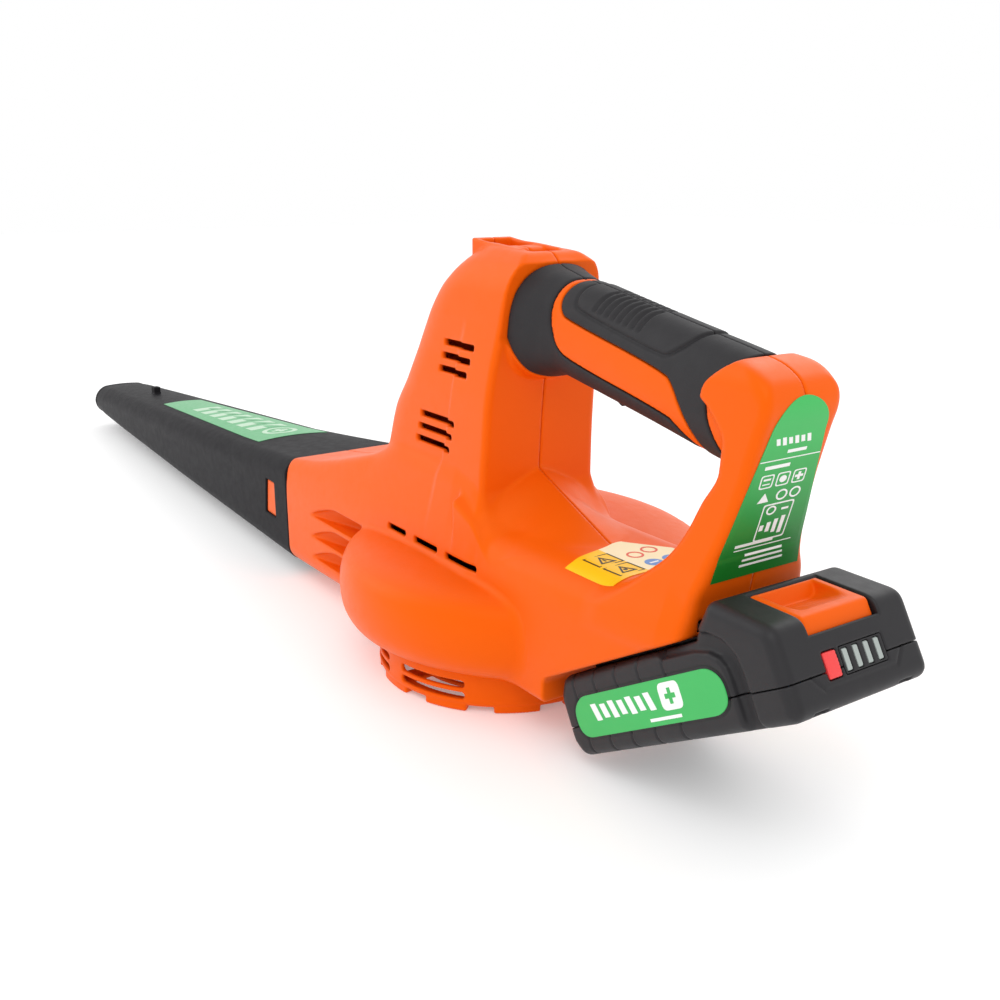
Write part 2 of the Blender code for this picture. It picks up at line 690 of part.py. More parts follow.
# ------------------------------------------------------------------ nozzle
def nozzle():
    outer = loft("nozzle", nozzle_loops(0.0, NOZZLE_STATIONS))
    first, last = NOZZLE_STATIONS[0], NOZZLE_STATIONS[-1]
    stations = [(first[0] - 2, *first[1:])] + NOZZLE_STATIONS[1:-1] + [(last[0] + 2, *last[1:])]
    cut(outer, loft("bore", nozzle_loops(NOZZLE_WALL, stations)))
    half, low, high = nozzle_at(591)
    join(outer, block("lug", (586, 596), (-3.0, 3.0), (high - 1.2, high + 5.0), PLAN))
    for side in (-1, 1):
        low_y, high_y = sorted((side * 30, side * 60))
        cut(outer, prism("window", [(203, 33), (222, 33), (218, 58), (203, 58)], low_y, high_y, SIDE))
    return finish(outer, "nozzle", BLACK)


def snap_tabs():
    """Orange spring fingers in the spigot's sides, seen through the nozzle's windows."""
    for side, name in ((1, "left_snap_tab"), (-1, "right_snap_tab")):
        skin = cut(spigot(0.0, DUCT_END, DUCT_END + SPIGOT_LENGTH),
                   spigot(WALL - 0.3, DUCT_END - 3, DUCT_END + SPIGOT_LENGTH + 3))
        low, high = sorted((side * 30, side * 60))
        keep(skin, prism("area", tab_outline(0.0), low, high, SIDE))
        finish(skin, name, ORANGE)


def plate_on_nozzle():
    """Label on the nozzle's top, following its slope."""
    loops = []
    for x in (268, 514):
        half, low, high = nozzle_at(x)
        width = float(np.interp(x, (268, 514), (26.5, 17.0)))
        top = high + GAP
        fall = 0.012 * (high - low) * width / (0.5 * half) + 0.2
        loops.append([(x, -width, top - fall + 0.5), (x, 0, top), (x, width, top - fall + 0.5),
                      (x, width, top - fall + 1.0), (x, 0, top + 0.5), (x, -width, top - fall + 1.0)])
    return finish(loft("label", loops), "nozzle_label", GREEN)


# ------------------------------------------------------------------ fan and motor
def impeller():
    disc = turned("impeller", [(IMPELLER_RADIUS, 56.0), (IMPELLER_RADIUS, 57.6), (12, 59.0),
                               (8.0, 63.0)], 32, PLAN)
    join(disc, turned("hub", [(8.0, 42.0), (8.0, 58.0)], 16, PLAN))
    for blade in range(BLADE_COUNT):
        start = 2 * math.pi * blade / BLADE_COUNT
        front, back = [], []
        for step in range(5):
            share = step / 4
            radius = 26.0 + (IMPELLER_RADIUS - 0.8 - 26.0) * share
            turn = start - 0.55 * share
            thick = 0.8 / radius
            front.append((radius * math.cos(turn + thick), radius * math.sin(turn + thick)))
            back.append((radius * math.cos(turn - thick), radius * math.sin(turn - thick)))
        join(disc, prism("blade", front + back[::-1], 29.0, 56.8, PLAN))
    cut(disc, turned("hole", [(SHAFT_RADIUS + GAP, 30), (SHAFT_RADIUS + GAP, 70)], 16, PLAN))
    return finish(disc, "impeller", BLACK)


def rotor():
    profile = [(2.2, 34.5), (SHAFT_RADIUS, 35), (SHAFT_RADIUS, 151.5), (2.2, 152)]
    finish(turned("shaft", profile, 16, PLAN), "motor_shaft", STEEL)
    core = ring("armature", 17.0, SHAFT_RADIUS + GAP, 94.0, 133.0, 20, PLAN)
    cuts = []
    for number in range(5):
        turn = 2 * math.pi * number / 5
        place = frame((0, 0, 0), (math.cos(turn), math.sin(turn), 0),
                      (-math.sin(turn), math.cos(turn), 0), (0, 0, 1))
        cuts.append(block("slot", (13, 20), (-1.0, 1.0), (90, 140), place))
    cut(core, *cuts)
    commutator = ring("commutator", 5.5, SHAFT_RADIUS + GAP, 132.0, 143.5, 20, PLAN)
    finish(join(core, commutator), "armature", DARK_STEEL)


MOTOR_SCREW_X = 14.5


def motor():
    can = turned("can", [(MOTOR_RADIUS, MOTOR_LOW), (MOTOR_RADIUS, MOTOR_HIGH)], 28, PLAN)
    cut(can, turned("inside", [(20.8, MOTOR_LOW + 1.5), (20.8, MOTOR_HIGH + 5)], 28, PLAN))
    cut(can, turned("seat", [(5.3, 80), (5.3, 90)], 16, PLAN))
    for side in (-1, 1):
        cut(can, turned("hole", [(1.8, 80), (1.8, 90)], 8, PLAN, centre=(side * MOTOR_SCREW_X, 0)))
    finish(can, "motor_can", STEEL)
    for side, name in ((1, "left_magnet"), (-1, "right_magnet")):
        turns = [math.radians(side * (90 + step)) for step in range(-56, 57, 16)]
        outline = [(20.5 * math.cos(t), 20.5 * math.sin(t)) for t in turns]
        outline += [(17.6 * math.cos(t), 17.6 * math.sin(t)) for t in reversed(turns)]
        finish(prism("magnet", outline, 92.0, 135.0, PLAN), name, FERRITE)
    bush = SHAFT_RADIUS + 0.12
    finish(ring("bearing", 5.0, bush, 83.9, 88.5, 16, PLAN), "lower_bearing", COPPER)
    finish(ring("bearing", 5.0, bush, 146.6, 151.0, 16, PLAN), "upper_bearing", COPPER)
    cap = ring("cap", MOTOR_RADIUS, 5.3, MOTOR_HIGH + GAP, 149.8, 28, PLAN)
    for side in (-1, 1):
        holder = block("holder", sorted((side * 7.5, side * 14)), (-4.4, 4.4), (136.5, 147.5), PLAN)
        join(cap, holder)
    brush_way = block("way", (-30, 30), (-2.8, 2.8), (138.0, 144.0), PLAN)
    cut(cap, brush_way)
    finish(cap, "motor_end_cap", BLACK)
    for side, name in ((1, "front_brush"), (-1, "rear_brush")):
        reach = sorted((side * 5.9, side * 13.5))
        finish(block("brush", reach, (-2.5, 2.5), (138.3, 143.7), PLAN), name, CARBON)
    plate = ring("plate", 28.4, 8.0, PLATE_LOW, PLATE_HIGH, 28, PLAN)
    for number, side in enumerate((-1, 1), 1):
        centre = (side * MOTOR_SCREW_X, 0)
        cut(plate, turned("hole", [(1.8, 70), (1.8, 90)], 8, PLAN, centre=centre))
        profile = [(3.0, 78.0), (3.0, PLATE_LOW - GAP), (1.45, PLATE_LOW - GAP), (1.45, 88.5)]
        finish(turned("screw", profile, 8, PLAN, centre=centre), f"motor_screw_{number}", STEEL)
    finish(plate, "motor_mount_plate", STEEL)


# ------------------------------------------------------------------ controls and wiring
def controls():
    pad = prism("trigger", [(3, -22.5), (38, -22.5), (38, -18.5), (26, -15.0), (3, -12.5)],
                -6.0, 6.0, HANDLE)
    join(pad, turned("trunnion", [(1.5, -8.5), (1.5, 8.5)], 10, HANDLE, centre=TRIGGER_PIVOT))
    finish(pad, "trigger", BLACK)
    finish(block("switch", (12, 40), (-6.0, 12.0), (-8, 8), HANDLE), "switch_body", BLACK)
    spring = frame(HANDLE([(31.0, 0, 0)])[0], (0, 1, 0), HANDLE([(1, 0, 0)])[0] - HANDLE([(0, 0, 0)])[0],
                   HANDLE([(0, 1, 0)])[0] - HANDLE([(0, 0, 0)])[0])
    finish(ring("spring", 2.6, 1.9, -15.6, -6.5, 12, spring), "trigger_spring", STEEL)
    board = block("board", (-18, 14), (160, 188), (-9.0, -7.4), SIDE)
    for x, z in ((-10, 166), (4, 168), (-4, 180)):
        join(board, block("chip", (x - 4, x + 4), (z - 3, z + 3), (-8.0, -3.5), SIDE))
    finish(board, "control_board", BOARD)


def terminal_block():
    base = block("terminals", (99, 115), (38.6, 45.5), (-16.5, 16.5), PACK)
    for y in (-11.0, 0.0, 11.0):
        join(base, block("blade", (101, 113), (29.0, 39.5), (y - 0.5, y + 0.5), PACK))
    finish(base, "terminal_block", BLACK)


def wire(name, points, radius, mat):
    """A round lead through hand-placed points, smoothed into one curve."""
    route = np.array(points, dtype=float)
    ends = np.vstack([2 * route[0] - route[1], route, 2 * route[-1] - route[-2]])
    smooth = []
    for i in range(1, len(ends) - 2):
        p0, p1, p2, p3 = ends[i - 1:i + 3]
        for t in (0.0, 0.33, 0.67):
            smooth.append(0.5 * (2 * p1 + (p2 - p0) * t + (2 * p0 - 5 * p1 + 4 * p2 - p3) * t * t
                                 + (3 * p1 - p0 - 3 * p2 + p3) * t ** 3))
    smooth.append(ends[-2])
    curve = bpy.data.curves.new(name, "CURVE")
    curve.dimensions = "3D"
    curve.bevel_depth = radius * MM
    curve.bevel_resolution = 1
    curve.use_fill_caps = True
    spline = curve.splines.new("POLY")
    spline.points.add(len(smooth) - 1)
    for point, place in zip(spline.points, smooth):
        point.co = (*(place * MM), 1.0)
    obj = bpy.data.objects.new("route", curve)
    bpy.context.collection.objects.link(obj)
    graph = bpy.context.evaluated_depsgraph_get()
    mesh = bpy.data.meshes.new_from_object(obj.evaluated_get(graph))
    bpy.data.objects.remove(obj, do_unlink=True)
    bm = bmesh.new()
    bm.from_mesh(mesh)
    bmesh.ops.remove_doubles(bm, verts=bm.verts, dist=0.01 * MM)
    bmesh.ops.recalc_face_normals(bm, faces=bm.faces)
    bm.to_mesh(mesh)
    bm.free()
    lead = bpy.data.objects.new(name, mesh)
    bpy.context.collection.objects.link(lead)
    return finish(lead, name, mat)


def wiring():
    """Leads from the battery terminals through leg and handle to switch, board and motor."""
    for side, colour, mat in ((1, "red", WIRE_RED), (-1, "black", WIRE_BLACK)):
        y = 5.0 * side
        points = [PACK([(107, 46.5, y)])[0], (-126, y, 72), (-146, y, 82), (-163, y, 98),
                  (-169, 1.6 * y, 130), (-170, 1.9 * y, 152), (-164, 1.9 * y, 166),
                  (-145, 1.9 * y, 175), (-122, 1.9 * y, 180), HANDLE([(41, 4, y)])[0]]
        wire(f"battery_lead_{colour}", points, 1.3, mat)
        points = [HANDLE([(11, 6, y)])[0], (-58, y, 192), (-40, y, 188), (-26, 1.2 * y, 178),
                  (-20, 2.2 * y, 165), (-8 * side, 2.0 * y, 155), (-8 * side, 9.5 * side, 151.8)]
        wire(f"motor_lead_{colour}", points, 1.3, mat)


# ------------------------------------------------------------------ battery
def pack_outline(high):
    """Side view (a, h) of the pack with its head at the rear."""
    front = [(PACK_LENGTH - 5, 0), (PACK_LENGTH, 7), (PACK_LENGTH, PACK_HEIGHT - 8),
             (PACK_LENGTH - 6, PACK_HEIGHT)]
    head = [(HEAD_LENGTH, PACK_HEIGHT), (HEAD_LENGTH - 0.5, 38), (27, 49.3), (2, 34.5), (0, 31),
            (0, 3), (3, 0)]
    return front + head if high else front


def battery():
    shell = prism("pack", pack_outline(True), -PACK_HALF_WIDTH, PACK_HALF_WIDTH, PACK)
    bevel = shell.modifiers.new("bevel", "BEVEL")
    bevel.width = 3.0 * MM
    bevel.segments = 1
    bevel.limit_method = "ANGLE"
    bevel.angle_limit = math.radians(50)
    graph = bpy.context.evaluated_depsgraph_get()
    mesh = bpy.data.meshes.new_from_object(shell.evaluated_get(graph))
    shell.modifiers.clear()
    shell.data = mesh
    for side in (-1, 1):
        low, high = sorted((side * (PACK_HALF_WIDTH - 2.5), side * 60))
        cut(shell, block("neck", (20.5, 26.5), (-10, 30), (low, high), PACK))
    join(shell, tongue_solid("tongue", 0.0, TONGUE["start"], TONGUE["end"]))
    cut(shell, block("terminal_way", (60, 150), (PACK_HEIGHT - 0.5, 50), (-17.8, 17.8), PACK))
    inside = [(PACK_LENGTH - 7, 2.5), (PACK_LENGTH - 2.5, 9), (PACK_LENGTH - 2.5, PACK_HEIGHT - 9),
              (PACK_LENGTH - 7.5, PACK_HEIGHT - 2.5), (41, PACK_HEIGHT - 2.5), (38, 24.5), (10.5, 24.5),
              (10.5, 20.8), (2.6, 20.8), (2.6, 5), (5, 2.5)]
    cut(shell, prism("inside", inside, -PACK_HALF_WIDTH + 5, PACK_HALF_WIDTH - 5, PACK))
    for y in (-11.0, 0.0, 11.0):
        cut(shell, block("slot", (98, PACK_LENGTH + 5), (26.5, 50), (y - 1.2, y + 1.2), PACK))
    well = [(1.9, 22.2), (8.5, 22.2), (8.5, 27.0), (36.5, 27.0), (36.5, 60), (-5, 60), (-5, 27.5),
            (1.9, 27.5)]
    cut(shell, prism("latch_well", well, -LATCH_HALF_WIDTH - 0.6, LATCH_HALF_WIDTH + 0.6, PACK))
    cut(shell, block("button_hole", (-5, 6), (10.2, 20.8), (8.7, 16.3), PACK))
    cut(shell, block("gauge_hole", (-5, 6), (10.2, 20.8), (-16.3, 7.3), PACK))
    upper = copy(shell, "battery_upper_case")
    keep(shell, block("low", (-10, 160), (-10, PACK_SEAM - 0.15), (-60, 60), PACK))
    keep(upper, block("high", (-10, 160), (PACK_SEAM + 0.15, 80), (-60, 60), PACK))
    finish(shell, "battery_lower_case", BLACK)
    finish(upper, "battery_upper_case", BLACK)


def battery_inside():
    for number in range(5):
        a = 42.0 + 19.6 * number
        end = CELL_LENGTH / 2
        profile = [(CELL_RADIUS - 0.6, -end), (CELL_RADIUS, -end + 0.6), (CELL_RADIUS, end - 0.6),
                   (CELL_RADIUS - 0.6, end)]
        cell = turned("cell", profile, 14, PACK, centre=(a, 12.5))
        finish(cell, f"cell_{number + 1}", CELL_WRAP)
    finish(block("board", (43, 96), (24.2, 25.8), (-26, 26), PACK), "battery_board", BOARD)
    contacts = block("contacts", (100, 112), (22.2, 24.6), (-15, 15), PACK)
    for y in (-11.0, 0.0, 11.0):
        for side in (-1, 1):
            low, high = sorted((y + side * 0.9, y + side * 1.9))
            join(contacts, block("clip", (101, 111), (24.0, 32.0), (low, high), PACK))
    finish(contacts, "battery_contacts", COPPER)


def battery_controls():
    latch = prism("latch", [(2.2, 26.4), (7.9, 26.4), (7.9, 31.5), (35.5, 31.5), (35.5, 43.8), (27, 48.9),
                            (2.2, 34.2)], -LATCH_HALF_WIDTH, LATCH_HALF_WIDTH, PACK)
    finish(latch, "battery_latch", ORANGE)
    spring = frame(PACK([(23.0, 0, 0)])[0], (0, 1, 0), PACK([(1, 0, 0)])[0] - PACK([(0, 0, 0)])[0],
                   PACK([(0, 1, 0)])[0] - PACK([(0, 0, 0)])[0])
    finish(ring("spring", 4.0, 3.2, 27.3, 31.2, 12, spring), "latch_spring", STEEL)
    finish(block("button", (-0.4, 5.5), (10.6, 20.4), (9.1, 15.9), PACK), "gauge_button", RED)
    finish(block("gauge", (0.3, 5.5), (10.6, 20.4), (-15.9, 6.9), PACK), "gauge_window", CLEAR)


def battery_labels():
    outline = [(36, 8), (124, 8), (129, 12), (129, 21), (122, 26), (36, 26), (30, 21), (30, 12)]
    for side, name in ((1, "left_battery_label"), (-1, "right_battery_label")):
        low, high = sorted((side * (PACK_HALF_WIDTH + GAP), side * (PACK_HALF_WIDTH + GAP + 0.5)))
        finish(prism("label", outline, low, high, PACK), name, GREEN)


def body_labels():
    """Arched label on the leg's rear face, and a warning label on the deck."""
    slope = math.atan2(-175.5 + 195.5, 177.0 - 108.0)
    axis_up = (-math.sin(slope), 0, math.cos(slope))
    axis_out = (-math.cos(slope), 0, -math.sin(slope))
    place = frame((-175.5 - 2.2, 0, 108.0), (0, 1, 0), axis_up, axis_out)
    arch = [(math.radians(a)) for a in (0, 30, 60, 90, 120, 150, 180)]
    outline = [(-24.0, -6.0), (24.0, -6.0)]
    outline += [(14.6 * math.cos(t), 56 + 13.5 * math.sin(t)) for t in arch]
    finish(prism("label", outline, 0.0, 0.5, place), "leg_label", GREEN)
    strips = []
    for y in (-22, -11, 0, 11, 20):
        z = DECK_TOP + GAP - y * y / 400.0
        ends = (-97 - 0.1 * (y + 22), -131)
        strips.append([(x, y, z + lift) for x, lift in ((ends[0], 0.0), (ends[0], 0.5),
                                                        (ends[1], 1.5), (ends[1], 1.0))])
    finish(loft("label", strips), "warning_label", YELLOW)


def grips():
    for outline, name in zip(grip_outlines(), ("collar", "palm")):
        layer = grip_layer(outline, name, 0.0)
        cut(layer, block("trigger_gap", (2, 40), (-30, -12), (-6.6, 6.6), HANDLE))
        split(layer, f"left_{name}_grip", f"right_{name}_grip", RUBBER)


MOVING = {
    "nozzle_joint": ((DUCT_END, 0, 43), ("nozzle", "nozzle_label")),
    "rotor_axis": ((0, 0, 56), ("impeller", "motor_shaft", "armature")),
    "trigger_pivot": (tuple(HANDLE([(*TRIGGER_PIVOT, 0)])[0]), ("trigger",)),
    "battery_rail": (tuple(PACK([(TONGUE["start"], TONGUE["low"], 0)])[0]),
                     ("battery_lower_case", "battery_upper_case", "battery_board", "battery_contacts",
                      "cell_1", "cell_2", "cell_3", "cell_4", "cell_5", "gauge_window",
                      "left_battery_label", "right_battery_label", "latch_spring",
                      "battery_latch", "gauge_button")),
    "left_tab_hinge": ((196, 41, 45), ("left_snap_tab",)),
    "right_tab_hinge": ((196, -41, 45), ("right_snap_tab",)),
}


def parent_moving_parts():
    """Hang each moving group on an empty that sits on its joint."""
    for joint, (place, names) in MOVING.items():
        empty = bpy.data.objects.new(joint, None)
        empty.empty_display_size = 0.02
        empty.location = [value * MM for value in place]
        bpy.context.collection.objects.link(empty)
        for name in names:
            child = bpy.data.objects[name]
            child.parent = empty
            child.location = [-value * MM for value in place]


housing()
grips()
intake_cover()
cover_screws()
for screw_number, (screw_x, screw_z) in enumerate(SCREW_PLACES, 1):
    housing_screw(screw_number, screw_x, screw_z)
nozzle()
snap_tabs()
plate_on_nozzle()
impeller()
rotor()
motor()
controls()
terminal_block()
wiring()
battery()
battery_inside()
battery_controls()
battery_labels()
body_labels()
parent_moving_parts()
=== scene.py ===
"""Looks of a cordless leaf blower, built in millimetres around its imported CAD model.

The moulded pieces are made as solids of mathematical fields, blended into each other with
fillets, and meshed where the field crosses zero. The numbers follow the CAD model's own sections.
"""
import math

import bmesh
import bpy
import numpy as np
from mathutils import Matrix


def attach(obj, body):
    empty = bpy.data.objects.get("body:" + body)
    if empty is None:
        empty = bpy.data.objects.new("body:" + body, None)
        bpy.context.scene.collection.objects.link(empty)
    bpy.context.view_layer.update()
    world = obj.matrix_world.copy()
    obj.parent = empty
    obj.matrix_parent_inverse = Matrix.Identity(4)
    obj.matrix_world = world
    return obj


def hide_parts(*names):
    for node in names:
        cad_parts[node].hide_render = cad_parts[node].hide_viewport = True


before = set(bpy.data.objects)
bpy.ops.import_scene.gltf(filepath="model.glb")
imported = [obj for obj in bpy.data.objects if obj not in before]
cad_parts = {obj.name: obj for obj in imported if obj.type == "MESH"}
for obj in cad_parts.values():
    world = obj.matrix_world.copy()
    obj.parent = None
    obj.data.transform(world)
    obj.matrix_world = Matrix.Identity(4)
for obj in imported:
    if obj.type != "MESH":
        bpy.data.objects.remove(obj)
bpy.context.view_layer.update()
MM = 0.001


# ---- fields
def smin(a, b, k):
    """Union with a fillet of about k."""
    h = np.maximum(k - np.abs(a - b), 0.0) / k
    return np.minimum(a, b) - h * h * k * 0.25


def smax(a, b, k):
    """Intersection with an edge rounded by about k."""
    h = np.maximum(k - np.abs(a - b), 0.0) / k
    return np.maximum(a, b) + h * h * k * 0.25


def curve(points):
    """A smooth, overshoot-free function through (x, y) points."""
    xs, ys = (np.array(c, dtype=float) for c in zip(*points))
    steps = np.diff(xs)
    rises = np.diff(ys) / steps
    slopes = np.zeros(len(xs))
    slopes[0], slopes[-1] = rises[0], rises[-1]
    for i in range(1, len(xs) - 1):
        if rises[i - 1] * rises[i] > 0:
            slopes[i] = 2.0 / (1.0 / rises[i - 1] + 1.0 / rises[i])
    fine = np.linspace(xs[0], xs[-1], 1200)
    i = np.clip(np.searchsorted(xs, fine, side="right") - 1, 0, len(steps) - 1)
    t = (fine - xs[i]) / steps[i]
    values = (ys[i] * (1 + 2 * t) * (1 - t) ** 2 + steps[i] * slopes[i] * t * (1 - t) ** 2
              + ys[i + 1] * t * t * (3 - 2 * t) - steps[i] * slopes[i + 1] * t * t * (1 - t))
    return lambda x: np.interp(x, fine, values)


def rounded(outline, times=2):
    """Cut an outline's corners again and again until it is smooth."""
    points = np.array(outline, dtype=float)
    for _ in range(times):
        after = np.roll(points, -1, axis=0)
        points = np.stack([0.75 * points + 0.25 * after, 0.25 * points + 0.75 * after], 1).reshape(-1, 2)
    return points


def polygon(p, q, outline):
    """Signed distance from points (p, q) to a closed outline."""
    distance = np.full(p.shape, 1e9)
    inside = np.zeros(p.shape, bool)
    for a, b in zip(outline, np.roll(outline, -1, axis=0)):
        edge = b - a
        t = np.clip(((p - a[0]) * edge[0] + (q - a[1]) * edge[1]) / (edge @ edge + 1e-12), 0, 1)
        distance = np.minimum(distance, (p - a[0] - t * edge[0]) ** 2 + (q - a[1] - t * edge[1]) ** 2)
        crosses = (a[1] > q) != (b[1] > q)
        inside ^= crosses & (p < a[0] + (q - a[1]) * edge[0] / (edge[1] + 1e-12))
    return np.where(inside, -1, 1) * np.sqrt(distance)


def plate(outline, margin=25.0, cell=0.4):
    """The same distance as a fast lookup for many points."""
    outline = np.array(outline, dtype=float)
    low, high = outline.min(0) - margin, outline.max(0) + margin
    counts = np.ceil((high - low) / cell).astype(int) + 2
    grid = np.meshgrid(*(low[k] + cell * np.arange(counts[k]) for k in (0, 1)), indexing="ij")
    table = polygon(grid[0], grid[1], outline)

    def distance(p, q):
        a = np.clip((p - low[0]) / cell, 0, counts[0] - 1.001)
        b = np.clip((q - low[1]) / cell, 0, counts[1] - 1.001)
        i, j = a.astype(int), b.astype(int)
        a, b = a - i, b - j
        near = table[i, j] * (1 - b) + table[i, j + 1] * b
        far = table[i + 1, j] * (1 - b) + table[i + 1, j + 1] * b
        return near * (1 - a) + far * a

    return distance


def round_edge(a, b, radius):
    """Rounded edge between two faces; a and b count from the centre of its arc."""
    return np.hypot(np.maximum(a, 0), np.maximum(b, 0)) + np.minimum(np.maximum(a, b), 0) - radius


def bar(p, q, half_p, half_q, radius):
    """Rounded rectangle centred on 0."""
    return round_edge(np.abs(p) - half_p + radius, np.abs(q) - half_q + radius, radius)


def span(p, low, high):
    """Distance to the slab between two values."""
    return np.abs(p - 0.5 * (low + high)) - 0.5 * (high - low)


# ---- meshing
CHUNK = 8


def field_samples(field, low, high, step):
    """Samples on a grid, exact only in the blocks that the surface may pass through."""
    counts = np.ceil((np.array(high) - low) / step / CHUNK).astype(int)
    middles = [low[k] + step * (np.arange(counts[k]) * CHUNK + (CHUNK - 1) / 2) for k in range(3)]
    grid = np.meshgrid(*middles, indexing="ij")
    rough = field(*(g.ravel() for g in grid)).reshape(counts)
    near = np.abs(rough) < CHUNK * step * 0.87 * 1.7 + 1.5
    samples = np.where(rough < 0, -9.0, 9.0).astype(np.float32)
    samples = samples.repeat(CHUNK, 0).repeat(CHUNK, 1).repeat(CHUNK, 2)
    inner = np.stack(np.meshgrid(*[np.arange(CHUNK)] * 3, indexing="ij"), -1).reshape(-1, 3)
    blocks = np.argwhere(near)
    for start in range(0, len(blocks), 1500):
        index = (blocks[start:start + 1500, None, :] * CHUNK + inner).reshape(-1, 3)
        points = low + step * index
        samples[tuple(index.T)] = field(*points.T)
    return samples


def net(samples):
    """Surface nets: one vertex in each cell the surface crosses, one quad around each crossed edge."""
    inside = samples < 0
    size = [n - 1 for n in samples.shape]
    corners = [(i, j, k) for i in (0, 1) for j in (0, 1) for k in (0, 1)]
    count = np.zeros(size, np.uint8)
    for i, j, k in corners:
        count += inside[i:i + size[0], j:j + size[1], k:k + size[2]]
    flat = np.flatnonzero((count > 0) & (count < 8))
    cells = np.stack(np.unravel_index(flat, size), 1)
    value = {c: samples[tuple((cells + c).T)] for c in corners}
    total = np.zeros((len(cells), 3))
    hits = np.zeros(len(cells))
    for c in corners:
        for axis in range(3):
            if c[axis]:
                continue
            other = tuple(1 if k == axis else c[k] for k in range(3))
            a, b = value[c], value[other]
            cross = (a < 0) != (b < 0)
            t = np.where(cross, a / np.where(cross, a - b, 1.0), 0.0)
            total += cross[:, None] * np.array(c)
            total[:, axis] += np.where(cross, t, 0.0)
            hits += cross
    verts = cells + total / hits[:, None]
    quads = []
    for axis in range(3):
        one, two = (axis + 1) % 3, (axis + 2) % 3
        first = [slice(None)] * 3
        second = [slice(None)] * 3
        first[axis], second[axis] = slice(0, -1), slice(1, None)
        edges = np.argwhere(inside[tuple(first)] != inside[tuple(second)])
        keep = (edges[:, one] > 0) & (edges[:, two] > 0)
        keep &= (edges[:, one] < samples.shape[one] - 1) & (edges[:, two] < samples.shape[two] - 1)
        edges = edges[keep]
        ring = []
        for down_one, down_two in ((1, 1), (0, 1), (0, 0), (1, 0)):
            cell = edges.copy()
            cell[:, one] -= down_one
            cell[:, two] -= down_two
            ring.append(np.searchsorted(flat, np.ravel_multi_index(cell.T, size)))
        ring = np.stack(ring, 1)
        starts_inside = inside[tuple(edges.T)]
        quads.append(np.where(starts_inside[:, None], ring, ring[:, ::-1]))
    return verts, np.concatenate(quads)


def solid(name, field, low, high, step, place=None):
    """The zero surface of a field as a mesh object, its points pulled exactly onto the surface."""
    low = np.array(low, dtype=float)
    verts, quads = net(field_samples(field, low, high, step))
    points = low + step * verts
    delta = 0.2 * step
    for _ in range(2):
        here = field(*points.T)
        slope = np.stack([(field(*(points + delta * axis).T) - field(*(points - delta * axis).T))
                          for axis in np.eye(3)], 1) / (2 * delta)
        move = here / np.maximum((slope ** 2).sum(1), 0.2)
        move = np.clip(move[:, None] * slope, -0.6 * step, 0.6 * step)
        points = points - move
    if place:
        points = place(points)
    return mesh_piece(name, points, quads)


def outward(mesh):
    """Face normals made to point out."""
    work = bmesh.new()
    work.from_mesh(mesh)
    bmesh.ops.recalc_face_normals(work, faces=work.faces)
    work.to_mesh(mesh)
    work.free()


def mesh_piece(name, points, faces):
    """A mesh object, from millimetres: smooth from an array of quads, flat from a list of faces."""
    mesh = bpy.data.meshes.new(name)
    if isinstance(faces, np.ndarray):
        mesh.vertices.add(len(points))
        mesh.vertices.foreach_set("co", (np.asarray(points) * MM).astype(np.float32).ravel())
        mesh.loops.add(faces.size)
        mesh.loops.foreach_set("vertex_index", faces.astype(np.int32).ravel())
        mesh.polygons.add(len(faces))
        mesh.polygons.foreach_set("loop_start", np.arange(len(faces), dtype=np.int32) * faces.shape[1])
        mesh.update(calc_edges=True)
        mesh.validate()
        mesh.shade_smooth()
    else:
        mesh.from_pydata([tuple(v * MM for v in p) for p in points], [], faces)
        mesh.validate()
        outward(mesh)
    piece = bpy.data.objects.new(name, mesh)
    bpy.context.collection.objects.link(piece)
    return piece


def paint(piece, *materials):
    for mat in materials:
        piece.data.materials.append(mat)
    return piece


def put(piece, body, slot, *nodes):
    """Let a piece ride on a body, in place of the named CAD nodes."""
    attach(piece, body)
    if nodes:
        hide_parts(*nodes)
    return piece


def moulding(name, field, low, high, step, mat, body, slot, *nodes, place=None):
    """A finished piece made from a field."""
    return put(paint(solid(name, field, low, high, step, place), mat), body, slot, *nodes)


# ---- materials
def nodes_of(name, colour, rough, metallic=0.0, coat=0.0):
    """A Principled material, with its node tree and its shader."""
    mat = bpy.data.materials.new(name)
    mat.use_nodes = True
    tree = mat.node_tree
    shader = tree.nodes["Principled BSDF"]
    shader.inputs["Base Color"].default_value = (*colour, 1.0)
    shader.inputs["Roughness"].default_value = rough
    shader.inputs["Metallic"].default_value = metallic
    shader.inputs["Coat Weight"].default_value = coat
    return mat, tree, shader


def shader_node(tree, kind, **values):
    """A node with constants on its inputs; an underscore stands for a space."""
    made = tree.nodes.new("ShaderNode" + kind)
    for name, value in values.items():
        made.inputs[name.replace("_", " ")].default_value = value
    return made


def noise(tree, scale, detail=4.0, roughness=0.55, stretch=None):
    texture = shader_node(tree, "TexNoise", Scale=scale, Detail=detail, Roughness=roughness)
    source = shader_node(tree, "TexCoord").outputs["Object"]
    if stretch:
        mapping = shader_node(tree, "Mapping", Scale=stretch)
        tree.links.new(source, mapping.inputs["Vector"])
        source = mapping.outputs["Vector"]
    tree.links.new(source, texture.inputs["Vector"])
    return texture.outputs["Fac"]


def uneven_gloss(tree, shader, factor, low, high):
    """Roughness that follows a noise between two values."""
    scaled = shader_node(tree, "MapRange", From_Min=0.3, From_Max=0.7, To_Min=low, To_Max=high)
    tree.links.new(factor, scaled.inputs["Value"])
    tree.links.new(scaled.outputs["Result"], shader.inputs["Roughness"])


def bumps(tree, shader, factor, distance):
    relief = shader_node(tree, "Bump", Distance=distance, Strength=1.0)
    tree.links.new(factor, relief.inputs["Height"])
    tree.links.new(relief.outputs["Normal"], shader.inputs["Normal"])


